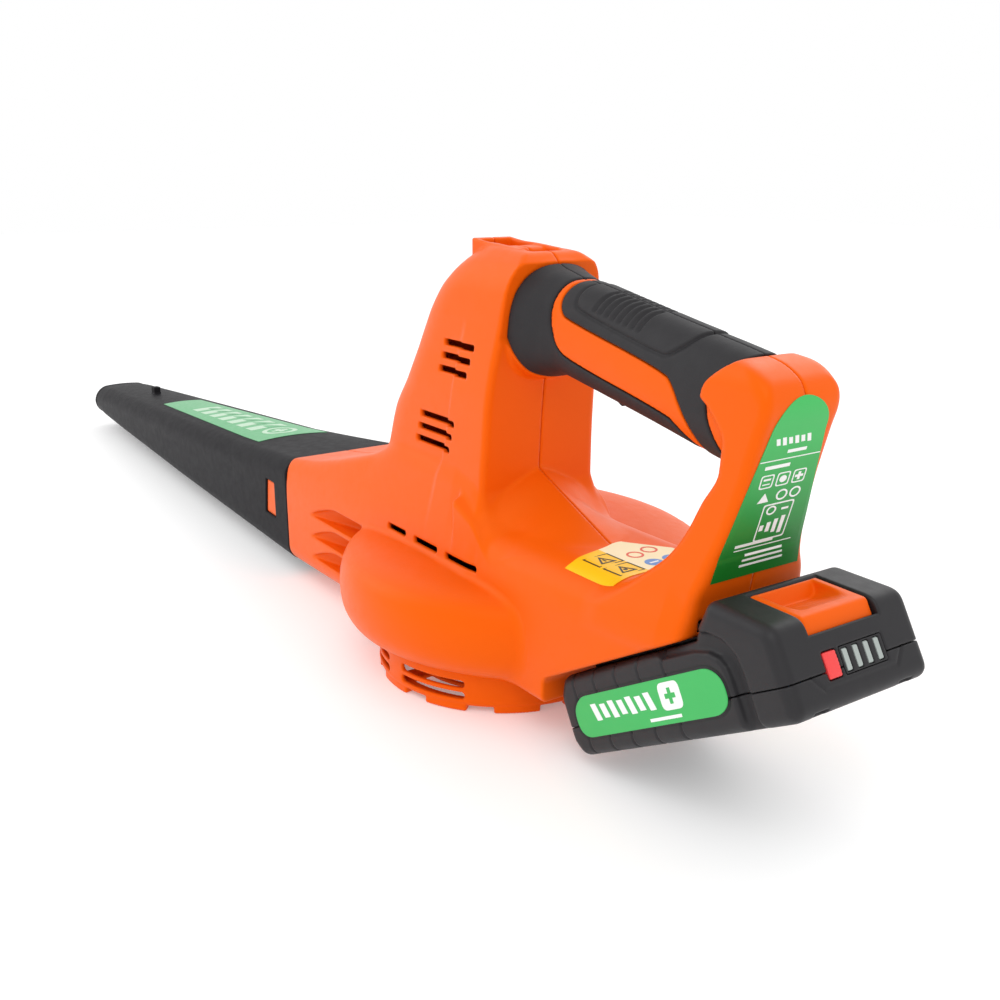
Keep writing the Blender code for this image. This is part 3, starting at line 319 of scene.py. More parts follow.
def two_tone(tree, shader, factor, low, high):
    """Base colour between two colours."""
    mix = shader_node(tree, "Mix")
    mix.data_type = "RGBA"
    mix.inputs["A"].default_value = (*low, 1.0)
    mix.inputs["B"].default_value = (*high, 1.0)
    tree.links.new(factor, mix.inputs["Factor"])
    tree.links.new(mix.outputs["Result"], shader.inputs["Base Color"])


def moulded(name, colour, rough, grain=2600.0, depth=0.00003, change=0.06, coat=0.0, shine=0.5,
            tint=(1.0, 1.0, 1.0)):
    """Injection-moulded plastic or rubber: fine grain, slight flow marks and uneven gloss."""
    mat, tree, shader = nodes_of(name, colour, rough, coat=coat)
    shader.inputs["Specular IOR Level"].default_value = shine
    shader.inputs["Specular Tint"].default_value = (*tint, 1.0)
    two_tone(tree, shader, noise(tree, 22.0, 3.0), [c * (1 - change) for c in colour],
             [min(1.0, c * (1 + change)) for c in colour])
    uneven_gloss(tree, shader, noise(tree, 160.0, 6.0, 0.7), rough - 0.04, rough + 0.05)
    bumps(tree, shader, noise(tree, grain, 2.0), depth)
    return mat


def metal(name, colour, rough, stretch=(1, 1, 1), scale=900.0):
    mat, tree, shader = nodes_of(name, colour, rough, metallic=1.0)
    lines = noise(tree, scale, 4.0, 0.6, stretch)
    uneven_gloss(tree, shader, lines, rough - 0.08, rough + 0.10)
    bumps(tree, shader, lines, 0.00002)
    return mat


ORANGE = moulded("orange_moulded", (0.82, 0.106, 0.002), 0.40, depth=0.000016, change=0.035, shine=0.30,
                 tint=(1.0, 0.42, 0.16))
DARK = moulded("black_moulded", (0.014, 0.013, 0.015), 0.46, depth=0.00004, change=0.10, shine=0.33)
NOZZLE_BLACK = moulded("nozzle_black", (0.012, 0.011, 0.013), 0.50, depth=0.00004, change=0.10,
                       shine=0.07)
RUBBER = moulded("grip_rubber", (0.014, 0.013, 0.015), 0.60, grain=1900.0, depth=0.00005, change=0.12,
                 shine=0.36)


# ---- sizes shared with the CAD model
DUCT_END = 182.0
HANDLE_START = (-65.0, 185.3)
HANDLE_SLOPE = math.radians(10.5)
PACK_ORIGIN = (-233.0, 72.5)
PACK_SLOPE = math.radians(30.0)
HALF = curve([(-175, 36), (-140, 39), (-100, 41), (-60, 42), (-38, 43), (-28, 44), (182, 44)])
LOW = curve([(-175, 40), (-140, 30), (-100, 21.5), (-60, 21.5), (71, 21.5), (78, 17), (100, 11),
             (127, 10.3), (182, 9.3)])
HIGH = curve([(-175, 93), (-140, 90), (-100, 89), (-46, 89), (-38, 93), (-30, 104), (-24, 107), (10, 108),
              (50, 108), (71, 104), (100, 96), (127, 88.5), (155, 82), (182, 78)])
TOP_ROUND = curve([(-175, 18), (-60, 22), (-40, 18), (-28, 14), (60, 14), (110, 8), (182, 9)])
LOW_ROUND = curve([(-175, 4), (-60, 4), (60, 4), (100, 12), (182, 12)])
LEAN = curve([(-60, 0.02), (-30, 0.26), (100, 0.30), (150, 0.34), (182, 0.30)])
TOWER_REAR = curve([(58, -31), (104, -31.5), (131, -33), (149, -34.5), (175, -38), (198, -43), (222, -50)])
TOWER_FRONT = curve([(58, 112), (84, 100), (104, 85), (131, 75), (149, 62), (175, 47), (198, 30), (212, 13),
                     (224, -7)])
TOWER_HALF = curve([(58, 33.5), (104, 33), (131, 32), (149, 31.5), (175, 29), (198, 27.5),
                    (206, 25.5), (212, 22), (217, 16.5), (220, 13), (222, 11)])
TOWER_TOP = curve([(-60, 203), (-46, 212.3), (-39.5, 217.3), (-25, 218.5), (0, 220.5), (15, 222),
                   (30, 222)])
TOWER_STEP = curve([(66, 13), (104, 9), (130, 3), (165, -4), (200, -14)])
GRIP_Y = curve([(-44, 24.3), (-26, 24.3), (-17, 22), (-8, 18.6), (0, 16.8), (60, 16.2), (96, 16.6),
                (120, 17.5)])
GRIP_V = curve([(-44, 27.3), (-26, 27.3), (-17, 25.5), (-8, 23), (0, 21.7), (60, 21.6), (96, 21.9),
                (120, 21.5)])
GRIP_MIDDLE = curve([(-44, -4), (-22, -4), (-8, -1.5), (4, 0), (120, 0)])
LEG_REAR = curve([(80, -171), (97, -174), (108, -176), (125, -181), (145, -186.5), (160, -190.8),
                  (177, -195.5), (190, -196)])
LEG_FRONT = curve([(80, -122), (97, -141), (108, -152), (117, -157.5), (131, -163.5), (145, -170.5),
                   (156, -171), (168, -163), (177, -151), (190, -146)])
LEG_HALF = curve([(80, 33), (97, 31), (108, 27), (125, 23), (145, 21), (177, 20.5), (190, 20)])
RIDGE = curve([(-110, 79.7), (-88, 89.2), (-31, 113.8), (-15, 121)])
RAMP_HALF = curve([(-100, 6), (-88, 8), (-80, 23), (-61, 35), (-46, 38.6), (-31, 40), (-15, 41)])
RAMP_DROP = curve([(-100, 3), (-88, 2), (-80, 5.7), (-61, 18.3), (-46, 29), (-31, 20.8), (-15, 20)])
SCREW_PLACES = [(-22, 194), (38, 140), (150, 19.5), (-122, 170), (-177, 150), (-100, 72)]
COLLAR = [(-25.5, -40), (104, -40), (92.5, -22), (79.5, -14.1), (74.6, -12.0), (10, -10.7),
          (1, -6.8), (-3.8, 3), (-5.2, 14), (-4.9, 24), (-4.5, 40), (-25.5, 40)]
PALM = [(-1.2, 40), (-1.0, 22), (-1.0, 13.5), (1.8, 9), (6.6, 6.9), (71, 4.9), (76.6, 1.5), (83.4, -6.5),
        (94.5, -18.4), (99, -28), (100, -36), (103, -36), (107, -27), (111, -20.5), (106.5, -15.8),
        (100.6, -8.6), (96.6, -1.6), (95.2, 8.8), (101.5, 17), (106.5, 22), (112, 30), (117, 40)]


def side_wall(t):
    """How far the fan housing's wall is from the fan's axis in direction t."""
    reach = []
    for x, y, radius in ((7.0, -18.0, 99.0), (-3.0, 20.0, 124.0)):
        along = math.cos(t) * x + math.sin(t) * y
        reach.append(along + math.sqrt(radius ** 2 - x * x - y * y + along ** 2))
    right = 0.5 - 0.5 * math.tanh(3.0 * math.sin(t))
    return reach[0] * (1 - right) + reach[1] * right


WALL_ANGLES = np.linspace(-math.pi, math.pi, 1441)
WALL_RADII = np.array([side_wall(t) for t in WALL_ANGLES])
LEFT_PROFILE = plate(rounded([(-130, 21.5), (-13, 21.5), (-6, 24), (-1.5, 31), (0, 39), (-0.5, 50),
                              (-4, 58.5), (-12, 62.8), (-24, 65), (-42, 67), (-130, 68)]))
RIGHT_PROFILE = plate(rounded([(-130, 21.5), (-13, 21.5), (-6, 24), (-1.5, 31), (0, 41), (-0.5, 60),
                               (-4, 69.5), (-12, 74), (-24, 77), (-42, 79), (-130, 80)]))
COLLAR_AREA = plate(rounded(COLLAR))
PALM_AREA = plate(rounded(PALM))


def trunk(x, y, z):
    """Duct in front, battery deck behind."""
    half, low, high = HALF(x), LOW(x), HIGH(x)
    middle, tall = 0.5 * (low + high), 0.5 * (high - low)
    radius = np.where(z > middle, TOP_ROUND(x), LOW_ROUND(x))
    steep = np.where(z > middle, HIGH(x + 0.5) - HIGH(x - 0.5), LOW(x + 0.5) - LOW(x - 0.5))
    rise = (np.abs(z - middle) - tall) / np.sqrt(1 + steep * steep)
    d = round_edge(np.abs(y) - half + radius, rise + radius, radius)
    lean = LEAN(x)
    d = smax(d, (np.abs(y) - half + (z - 68) * lean) / np.sqrt(1 + lean * lean), 4.5)
    return smax(smax(d, x - DUCT_END, 0.8), -171.0 - x, 4.0)


def scroll(x, y, z):
    t = np.arctan2(y, x)
    reach = np.hypot(x, y) - np.interp(t, WALL_ANGLES, WALL_RADII)
    right = 0.5 - 0.5 * np.tanh(3.0 * np.sin(t))
    reach = np.maximum(reach, -125.0)
    return LEFT_PROFILE(reach, z) * (1 - right) + RIGHT_PROFILE(reach, z) * right


def tower(x, y, z):
    rear, front, half = TOWER_REAR(z), TOWER_FRONT(z), TOWER_HALF(z)
    step = np.clip((x - TOWER_STEP(z)) / 5.0 + 0.5, 0, 1)
    fade = np.clip((186 - z) / 20, 0, 1)
    half = half + (1.0 - 2.4 * step * step * (3 - 2 * step)) * fade
    nose = np.minimum(32.0, 0.47 * (front - rear))
    ahead = np.maximum(x - front + nose, 0) / nose
    d = ((ahead ** 2.7 + (np.abs(y) / half) ** 2.7) ** (1 / 2.7) - 1) * half * 0.85
    d = smax(d, rear - x, 3.5)
    d = smax(smax(d, z - TOWER_TOP(x), 2.5), 56 - z, 3.0)
    frame_box = smax(bar(x + 10.0, y, 21.0, 11.6, 1.5), np.maximum(z - TOWER_TOP(x), 200 - z), 1.0)
    return smin(d, frame_box, 1.5)


def ramp(x, y, z):
    half, drop = RAMP_HALF(x), RAMP_DROP(x)
    share = np.minimum(np.abs(y) / half, 1.3)
    steep = 1.2 * drop / half * share ** 0.2
    d = (z - RIDGE(x) + drop * share ** 1.2) / np.sqrt(1.2 + steep * steep)
    d = smax(d, np.abs(y) - half - 1.0, 1.5)
    return smax(smax(d, x + 16, 3.0), 66 - z, 3.0)


def handle_place(x, z):
    """Coordinates (u, v) along and across the handle."""
    c, s = math.cos(HANDLE_SLOPE), math.sin(HANDLE_SLOPE)
    dx, dz = x - HANDLE_START[0], z - HANDLE_START[1]
    return -dx * c - dz * s, -dx * s + dz * c


def handle(x, y, z):
    u, v = handle_place(x, z)
    a, b = GRIP_Y(u), GRIP_V(u)
    d = (((np.abs(y) / a) ** 2.5 + (np.abs(v - GRIP_MIDDLE(u)) / b) ** 2.5) ** 0.4 - 1) * a * 1.1
    return smax(smax(d, -44 - u, 3.0), u - 120, 8.0)


def leg(x, y, z):
    rear, front, half = LEG_REAR(z), LEG_FRONT(z), LEG_HALF(z)
    d = bar(x - 0.5 * (rear + front), y, 0.5 * (front - rear), half, 4.5)
    return smax(smax(d, z - 188.5, 12.0), 78 - z, 3.0)


def pack_place(x, z):
    """Coordinates (a, h) along and across the battery."""
    c, s = math.cos(PACK_SLOPE), math.sin(PACK_SLOPE)
    dx, dz = x - PACK_ORIGIN[0], z - PACK_ORIGIN[1]
    return dx * c - dz * s, dx * s + dz * c


def bay(x, z):
    """Room for the battery under the rear deck."""
    _, h = pack_place(x, z)
    return smax(h - 37.6, x + 91.0, 3.0)


def outer_form(x, y, z):
    """The housing's outside, before openings."""
    body = smin(trunk(x, y, z), scroll(x, y, z), 3.0)
    top = smin(tower(x, y, z), handle(x, y, z), 2.5)
    d = smin(body, top, 2.5 + 4.5 * np.clip((x + 28) / 20, 0, 1))
    d = smin(d, ramp(x, y, z), 1.6)
    foot = np.clip((135 - z) / 25, 0, 1) * np.clip((x + 176) / 16, 0, 1)
    d = smin(d, leg(x, y, z), 3.0 + 9.0 * foot)
    u, v = handle_place(x, z)
    corner = np.maximum(v - GRIP_V(u) - 0.2, LEG_REAR(z) - x - 0.2)
    d = smax(d, corner - 40.0 * np.clip((84 - u) / 20, 0, 1) - 40.0 * np.clip((112 - z) / 20, 0, 1), 1.5)
    d = smax(d, 0.707 * (v - GRIP_V(u) + LEG_REAR(z) - x) + 4.6, 8.0)
    return smax(d, -bay(x, z), 1.5)


def tube(x, y, z, inset):
    """Rounded section that follows the nozzle's taper."""
    half = np.interp(x, NOZZLE_X, NOZZLE_HALF) - inset
    low = np.interp(x, NOZZLE_X, NOZZLE_LOW) + inset
    crown = 0.0032 * np.clip((x - 190) / 110, 0, 1) * np.minimum(np.abs(y), half) ** 2
    high = np.interp(x, NOZZLE_X, NOZZLE_HIGH) - inset - crown
    corner = np.maximum(np.interp(x, (182, 430, 600, 710), (0.25, 0.28, 0.36, 0.46)) * half, 3.0)
    return bar(y, z - 0.5 * (low + high), half, 0.5 * (high - low), corner)


NOZZLE_X = (182.3, 290, 430, 570, 680, 710)
NOZZLE_HALF = (44.0, 41.0, 37.0, 32.8, 29.5, 28.0)
NOZZLE_LOW = (9.3, 9.6, 10.2, 11.2, 12.0, 13.0)
NOZZLE_HIGH = (77.5, 70.0, 60.5, 51.2, 43.8, 41.0)
SLOTS = [(-19, 10, 171), (-17, 12, 164.3), (-15, 14, 157.6), (-5, 31, 132), (-3, 33, 125.2),
         (-1, 35, 118.4), (29, 48, 68.4), (-3, 20, 68.4), (-38, -11, 68.4)]


def sinks(x, y, z):
    """Closed hollows in the outside: the duct's wedge pockets and the strap well with its rod."""
    d = np.full(x.shape, 99.0)
    wide = np.abs(y)
    for low in (50.5, 36.8, 23.4):
        rise = np.clip((148.5 - x) / 37.0, 0, 1)
        roof = low + 11.0 * (1 - (1 - rise) ** 1.4)
        floor = 27.5 + 16.7 * np.clip((x - 84) / 66, 0, 1)
        pocket = smax(smax(z - roof, low - z, 2.0), smax(74 - x, x - 149, 2.0), 4.0)
        d = np.minimum(d, smax(pocket, floor - wide, 2.0))
    recess = bar(x + 14.5, y, 21.5, 8.8, 1.2)
    recess = smax(recess, 210.0 - z, 1.5)
    rod = bar(x + 17.0, z - TOWER_TOP(x) + 3.6, 6.0, 3.2, 2.8)
    return np.minimum(d, recess), np.minimum(d, smax(recess, -rod, 0.8))


def openings(x, y, z):
    """Everything cut through the wall; negative inside a cut."""
    d = sinks(x, y, z)[1]
    wide = np.abs(y)
    for x0, x1, low in SLOTS:
        slot = bar(x - 0.5 * (x0 + x1), z - low - 1.5, 0.5 * (x1 - x0), 1.55, 1.2)
        d = np.minimum(d, np.maximum(slot, 20 - wide))
    d = np.minimum(d, np.maximum(np.hypot(x, y) - 38.0, span(z, 10, 30)))
    a, h = pack_place(x, z)
    neck = np.maximum(wide - 22.6, span(h, 33, 43.2))
    head = np.maximum(wide - 26.6, span(h, 39.0, 43.2))
    d = np.minimum(d, np.maximum(np.minimum(neck, head), span(a, 20, 127.5)))
    d = np.minimum(d, np.maximum(wide - 17, np.maximum(span(h, 34, 50), span(a, 98, 116))))
    u, v = handle_place(x, z)
    return np.minimum(d, smax(smax(wide - 6.6, span(u, 2, 40), 2.0), span(v, -32, -12), 1.0))


def housing(x, y, z):
    """Shell with bosses, grip recesses, nozzle spigot and openings."""
    outer = outer_form(x, y, z)
    u, v = handle_place(x, z)
    near_handle = np.maximum(-25.5 - u, u - 118)
    grip = np.minimum(COLLAR_AREA(u, v), PALM_AREA(u, v)) - 0.45
    skin = np.maximum(np.maximum(grip, -(handle(x, y, z) + 2.3)), near_handle)
    wall = 2.5 + 2.1 * np.clip((u + 30) / 12, 0, 1) * np.clip((z - 130) / 20, 0, 1)
    hollow = smax(outer + wall, 2.0 - sinks(x, y, z)[0], 1.0)
    for cx, cz in SCREW_PLACES:
        hollow = smax(hollow, 5.4 - np.hypot(x - cx, z - cz), 1.5)
    web = np.maximum(span(z, 77.9, 80.3), 24.0 - np.hypot(x, y))
    hollow = np.maximum(hollow, -np.maximum(web, np.maximum(-60 - x, x - 176)))
    way_out = np.maximum(tube(x, y, z, 4.6), span(x, 172, 240))
    hollow = np.minimum(hollow, way_out)
    spigot = np.maximum(tube(x, y, z, 2.3), span(x, 176, 225))
    shell = np.maximum(np.minimum(outer, spigot), -hollow)
    shell = smax(shell, -skin, 0.5)
    shell = smax(shell, -openings(x, y, z), 0.9)
    for cx, cz in SCREW_PLACES:
        away = np.hypot(x - cx, z - cz)
        bore = np.minimum(np.maximum(away - 3.6, y + 10), np.maximum(away - 1.75, y - 8))
        shell = smax(shell, -bore, 0.5)
    tab = np.maximum(span(x, 195.7, 222.3), span(z, 33.7, 57.3))
    return np.maximum(shell, -np.maximum(tab, 30 - np.abs(y)))


def half_of(field, side):
    """One half of a field, standing off the middle plane, with the edge slightly rounded."""
    return lambda x, y, z: smax(field(x, y, z), 0.15 - side * y, 0.7)


for side, word, low_y, high_y in ((1, "left", -1.5, 84), (-1, "right", -107, 1.5)):
    moulding(f"{word}_shell", half_of(housing, side), (-200, low_y, 7), (229, high_y, 225), 0.8, ORANGE,
             "housing", "orange_plastic", f"{word}_housing")


# ---- materials of the smaller pieces
def vinyl(name, colour, lower=None, low_z=0.0, high_z=1.0):
    """Printed label film: faintly mottled, or fading to another colour further down, used as painted shade.
    """
    mat, tree, shader = nodes_of(name, colour, 0.36, coat=0.05)
    shader.inputs["Specular IOR Level"].default_value = 0.22
    shader.inputs["Coat Roughness"].default_value = 0.22
    # painted shade: the colour fades to the darker lower colour towards the bottom, by object height
    if lower:
        split = shader_node(tree, "SeparateXYZ")
        tree.links.new(shader_node(tree, "TexCoord").outputs["Object"], split.inputs["Vector"])
        fade = shader_node(tree, "MapRange", From_Min=low_z, From_Max=high_z)
        tree.links.new(split.outputs["Z"], fade.inputs["Value"])
        two_tone(tree, shader, fade.outputs["Result"], lower, colour)
    else:
        two_tone(tree, shader, noise(tree, 60.0, 3.0), [c * 0.93 for c in colour], colour)
    uneven_gloss(tree, shader, noise(tree, 300.0, 5.0), 0.30, 0.40)
    bumps(tree, shader, noise(tree, 800.0, 2.0), 0.00001)
    return mat


GREEN = vinyl("green_film", (0.055, 0.46, 0.115))
PALE_GREEN = vinyl("nozzle_film", (0.10, 0.42, 0.17))
# leg film with painted shade: dark green at the bottom of the label, fading up to the plain green
LEG_GREEN_PAINTED_SHADE = vinyl("leg_film_painted_shade", (0.055, 0.46, 0.11), (0.010, 0.17, 0.018), 0.108, 0.160)
YELLOW = vinyl("yellow_film", (0.97, 0.56, 0.01))
CREAM = vinyl("cream_film", (0.93, 0.80, 0.50))
WHITE_INK = vinyl("white_ink", (0.88, 0.89, 0.88))
PALE_INK = vinyl("pale_ink", (0.48, 0.68, 0.50))
BLACK_INK = vinyl("black_ink", (0.03, 0.022, 0.015))
BLUE_INK = vinyl("blue_ink", (0.13, 0.27, 0.62))
RED_INK = vinyl("red_ink", (0.75, 0.10, 0.05))
RED = moulded("red_button", (0.80, 0.045, 0.045), 0.36, depth=0.00001, change=0.05)
LIGHT_PIPE = moulded("light_pipe", (0.34, 0.38, 0.36), 0.22, depth=0.00001, change=0.08, coat=0.5)
STEEL = metal("zinc_steel", (0.62, 0.62, 0.60), 0.34)
LAMINATION = metal("lamination_stack", (0.42, 0.43, 0.45), 0.42, (1, 1, 60), 60.0)
BRONZE = metal("sintered_bronze", (0.58, 0.40, 0.20), 0.45)
COPPER = metal("copper", (0.80, 0.36, 0.18), 0.32)
FERRITE = moulded("ferrite", (0.035, 0.035, 0.038), 0.70, grain=900.0, depth=0.00004, change=0.20)
CARBON = moulded("carbon", (0.02, 0.02, 0.021), 0.50, grain=1500.0, depth=0.00003, change=0.20)
BOARD = moulded("circuit_board", (0.012, 0.16, 0.055), 0.38, grain=400.0, depth=0.00004, change=0.35,
                coat=0.3)
RED_WIRE = moulded("red_insulation", (0.55, 0.02, 0.02), 0.42)
BLACK_WIRE = moulded("black_insulation", (0.025, 0.025, 0.026), 0.42)
WRAP = moulded("cell_wrap", (0.05, 0.20, 0.42), 0.30, depth=0.00001, change=0.08, coat=0.4)


# ---- flat work: labels and printed marks
def skin(name, grid, out, thick, *materials, change_row=None):
    """A thin closed sheet over a grid of points; rows from change_row on take the second material."""
    grid = np.asarray(grid, dtype=float)
    rows, columns = grid.shape[:2]
    points = np.concatenate([(grid + np.array(out) * thick).reshape(-1, 3), grid.reshape(-1, 3)])
    low = rows * columns
    faces = []
    for r in range(rows - 1):
        for c in range(columns - 1):
            a = r * columns + c
            faces.append((a, a + 1, a + columns + 1, a + columns))
            faces.append((low + a, low + a + columns, low + a + columns + 1, low + a + 1))
    edge = list(range(columns))
    edge += [r * columns + columns - 1 for r in range(1, rows)]
    edge += [(rows - 1) * columns + c for c in range(columns - 2, -1, -1)]
    edge += [r * columns for r in range(rows - 2, 0, -1)]
    for a, b in zip(edge, edge[1:] + edge[:1]):
        faces.append((b, a, low + a, low + b))
    piece = paint(mesh_piece(name, points, faces), *materials)
    if change_row is not None:
        for face in piece.data.polygons:
            row = min(v % low for v in face.vertices) // columns
            face.material_index = int(row >= change_row)
    return piece


def prints(name, shapes, place, low, high, mat):
    """Raised marks: outlines, or (outer, inner) pairs for rings, laid on a surface by place(u, v)."""
    points, faces = [], []
    for shape in shapes:
        ring = isinstance(shape, tuple)
        loops = [np.array(s, dtype=float) for s in (shape if ring else (shape,))]
        start = len(points)
        count = len(loops[0])
        for loop in loops:
            base, out = place(loop[:, 0], loop[:, 1])
            points += list(base + out * low) + list(base + out * high)
        for k in range(count):
            n = (k + 1) % count
            a, b, c, d = start + k, start + n, start + count + n, start + count + k
            faces.append((a, b, c, d))
            if ring:
                e, f = a + 2 * count, b + 2 * count
                g, h = c + 2 * count, d + 2 * count
                faces += [(f, e, h, g), (d, c, g, h), (b, a, e, f)]
        if not ring:
            faces.append(tuple(start + count + k for k in range(count)))
            faces.append(tuple(start + k for k in reversed(range(count))))
    return paint(mesh_piece(name, points, faces), mat)


def box_mark(u, v, wide, tall, slant=0.0):
    """Parallelogram centred on (u, v)."""
    a, b = 0.5 * wide, 0.5 * tall
    return [(u - a - slant * b, v - b), (u + a - slant * b, v - b), (u + a + slant * b, v + b),
            (u - a + slant * b, v + b)]


def disc_mark(u, v, radius, sides=28):
    turns = [2 * math.pi * k / sides for k in range(sides)]
    return [(u + radius * math.cos(t), v + radius * math.sin(t)) for t in turns]


def frame_mark(outline, part):
    """Ring left between an outline and its smaller copy."""
    outline = np.array(outline, dtype=float)
    middle = outline.mean(0)
    return (outline, middle + (outline - middle) * part)


def stripe_mark(u, v, wide, tall, count, slant):
    """A row of slanted bars, in the place of a name."""
    pitch = wide / count
    return [box_mark(u + (k - 0.5 * (count - 1)) * pitch, v, pitch * 0.60, tall * (1.0 - 0.18 * (k % 2)),
                     slant) for k in range(count)]


def plus_mark(u, v, size, bar_width):
    s, w = 0.5 * size, 0.5 * bar_width
    corners = ((-s, -w), (-w, -w), (-w, -s), (w, -s), (w, -w), (s, -w))
    return [(u + a, v + b) for a, b in corners] + [(u - a, v - b) for a, b in corners]


def on_surface(field, start, out):
    """Function that lays flat coordinates on a field's surface along one direction."""
    out = np.array(out, dtype=float)

    def place(u, v):
        points = start(np.asarray(u, dtype=float), np.asarray(v, dtype=float))
        for _ in range(12):
            points = points - 0.8 * field(*points.T)[:, None] * out
        return points, out

    return place


def card(name, outline, place, low, high, mat, edge=0.25):
    """Plate with a small chamfer around its face."""
    outline = np.array(outline, dtype=float)
    middle = outline.mean(0)
    inner = middle + (outline - middle) * (1 - edge / np.abs(outline - middle).max())
    count = len(outline)
    points = []
    for loop, lift in ((outline, low), (outline, high - edge), (inner, high)):
        base, out = place(loop[:, 0], loop[:, 1])
        points += list(base + out * lift)
    faces = []
    for level in (0, 1):
        for k in range(count):
            n = (k + 1) % count
            a = level * count
            faces.append((a + k, a + n, a + count + n, a + count + k))
    faces.append(tuple(2 * count + k for k in range(count)))
    faces.append(tuple(reversed(range(count))))
    return paint(mesh_piece(name, points, faces), mat)


# ---- rubber grips
PANEL = plate(rounded([(6.5, 45), (6.5, 22), (8.5, 14.5), (13, 12.2), (66, 10.2), (71.5, 11.5), (80, 21),
                       (85, 45)]))

GROOVE_START, GROOVE_END = 19.5, 19.5 + 8 * 4.1


def grip(area, panelled):
    def field(x, y, z):
        u, v = handle_place(x, z)
        base = handle(x, y, z)
        outer = base - 0.30
        if panelled:
            panel = PANEL(u, v)
            outer = outer + 0.75 * np.exp(-(panel / 0.8) ** 2) - 0.45 * np.clip(-panel / 1.5, 0, 1)
            lane = np.mod(u - GROOVE_START, 4.1) - 2.05
            bounds = np.clip((u - GROOVE_START) / 0.5, 0, 1) * np.clip((GROOVE_END - u) / 0.5, 0, 1)
            bounds = bounds * np.clip((v - 14.2) / 1.2, 0, 1) * np.clip((np.abs(y) - 0.8) / 1.0, 0, 1)
            outer = outer + 0.85 * np.clip(1.5 - np.abs(lane), 0, 1) * bounds
        d = smax(outer, area(u, v) + 0.15, 1.3)
        d = np.maximum(d, -(base + 2.0))
        gap = np.maximum(np.maximum(np.abs(y) - 6.8, span(u, 1.7, 40.3)), v + 11.9)
        return smax(smax(d, -gap, 0.6), -26 - u, 1.0)
    return field


for side, word, low_y, high_y in ((1, "left", -1, 28), (-1, "right", -28, 1)):
    for part, area, low_x, high_x, low_z, high_z in (
            ("collar", COLLAR_AREA, -180, -32, 132, 220), ("palm", PALM_AREA, -186, -58, 128, 212)):
        moulding(f"{word}_{part}_rubber", half_of(grip(area, part == "palm"), side), (low_x, low_y, low_z),
                 (high_x, high_y, high_z), 0.55, RUBBER, "housing", "black_rubber", f"{word}_{part}_grip")


# ---- nozzle: s runs along it, with wide steps over its plain length
REACH = (0, 48, 135, 156, 181, 195)
ALONG = (180, 228, 575, 600, 700, 714)
WINDOW = plate([(203, 33), (222, 33), (218, 58), (203, 58)])


def nozzle_field(s, y, z):
    x = np.interp(s, REACH, ALONG)
    lip = 0.45 * np.clip((x - 705) / 1.5, 0, 1)
    outer = tube(x, y, z, 0.0) - lip
    top = np.interp(x, NOZZLE_X, NOZZLE_HIGH)
    lug = smax(bar(x - 591, y, 5.0, 3.0, 0.9), span(z, top - 1.0, top + 6.5), 0.8)
    outer = smin(outer, lug, 1.2)
    d = smax(outer, -tube(x, y, z, 1.8), 0.3)
    d = smax(d, span(x, 182.3, 710), 0.9)
    return smax(d, -np.maximum(WINDOW(x, z) + 0.6, 30 - np.abs(y)), 0.8)


moulding("nozzle_tube", nozzle_field, (-2, -47, 7), (196, 47, 80), 0.8, NOZZLE_BLACK, "nozzle",
         "black_plastic", "nozzle",
         place=lambda p: np.column_stack([np.interp(p[:, 0], REACH, ALONG), p[:, 1], p[:, 2]]))


def nozzle_top(x, y):
    return np.column_stack([x, y, np.interp(x, NOZZLE_X, NOZZLE_HIGH) + 1.0])


on_nozzle = on_surface(lambda x, y, z: tube(x, y, z, 0.0), nozzle_top, (0, 0, 1))
grid = []
for x in np.linspace(268, 514, 40):
    width = float(np.interp(x, (268, 514), (26.5, 17.0)))
    base, _ = on_nozzle(np.full(13, x), np.linspace(width, -width, 13))
    grid.append(base + np.array((0, 0, 0.12)))
put(skin("nozzle_film", grid, (0, 0, 1), 0.25, PALE_GREEN), "nozzle", "green_label", "nozzle_label")
marks = []
for k in range(7):
    x = 318 + 21.5 * k
    half = float(np.interp(x, (268, 514), (15.5, 9.5)))
    marks.append([(x - 6, share * half) for share in (1, 0.3, -0.3, -1)]
                 + [(x + 7, share * half) for share in (-1, -0.3, 0.3, 1)])
marks.append(frame_mark(disc_mark(293, 0, 13.0), 0.72))
marks.append(plus_mark(293, 0, 12.0, 4.0))
put(prints("nozzle_marks", marks, on_nozzle, 0.33, 0.50, PALE_INK), "nozzle", "green_label")


# ---- snap tabs
TAB = plate([(196, 34), (222, 34), (219, 57), (196, 57)])


def tab_field(x, y, z):
    leaf = np.maximum(np.maximum(tube(x, y, z, 2.4), -tube(x, y, z, 4.5)), TAB(x, z))
    button = smax(np.maximum(tube(x, y, z, 1.0), -tube(x, y, z, 4.0)), WINDOW(x, z) + 1.1, 0.9)
    return smin(leaf, button, 0.4)


for word, low_y in (("left", 36), ("right", -46)):
    moulding(f"{word}_tab", tab_field, (194, low_y, 31), (224, low_y + 10, 60), 0.4, ORANGE, f"{word}_tab",
             "orange_plastic", f"{word}_snap_tab")


# ---- intake cover
COVER_SCREWS = [(54.0 * math.cos(t), 54.0 * math.sin(t)) for t in np.radians((45, 135, 270))]


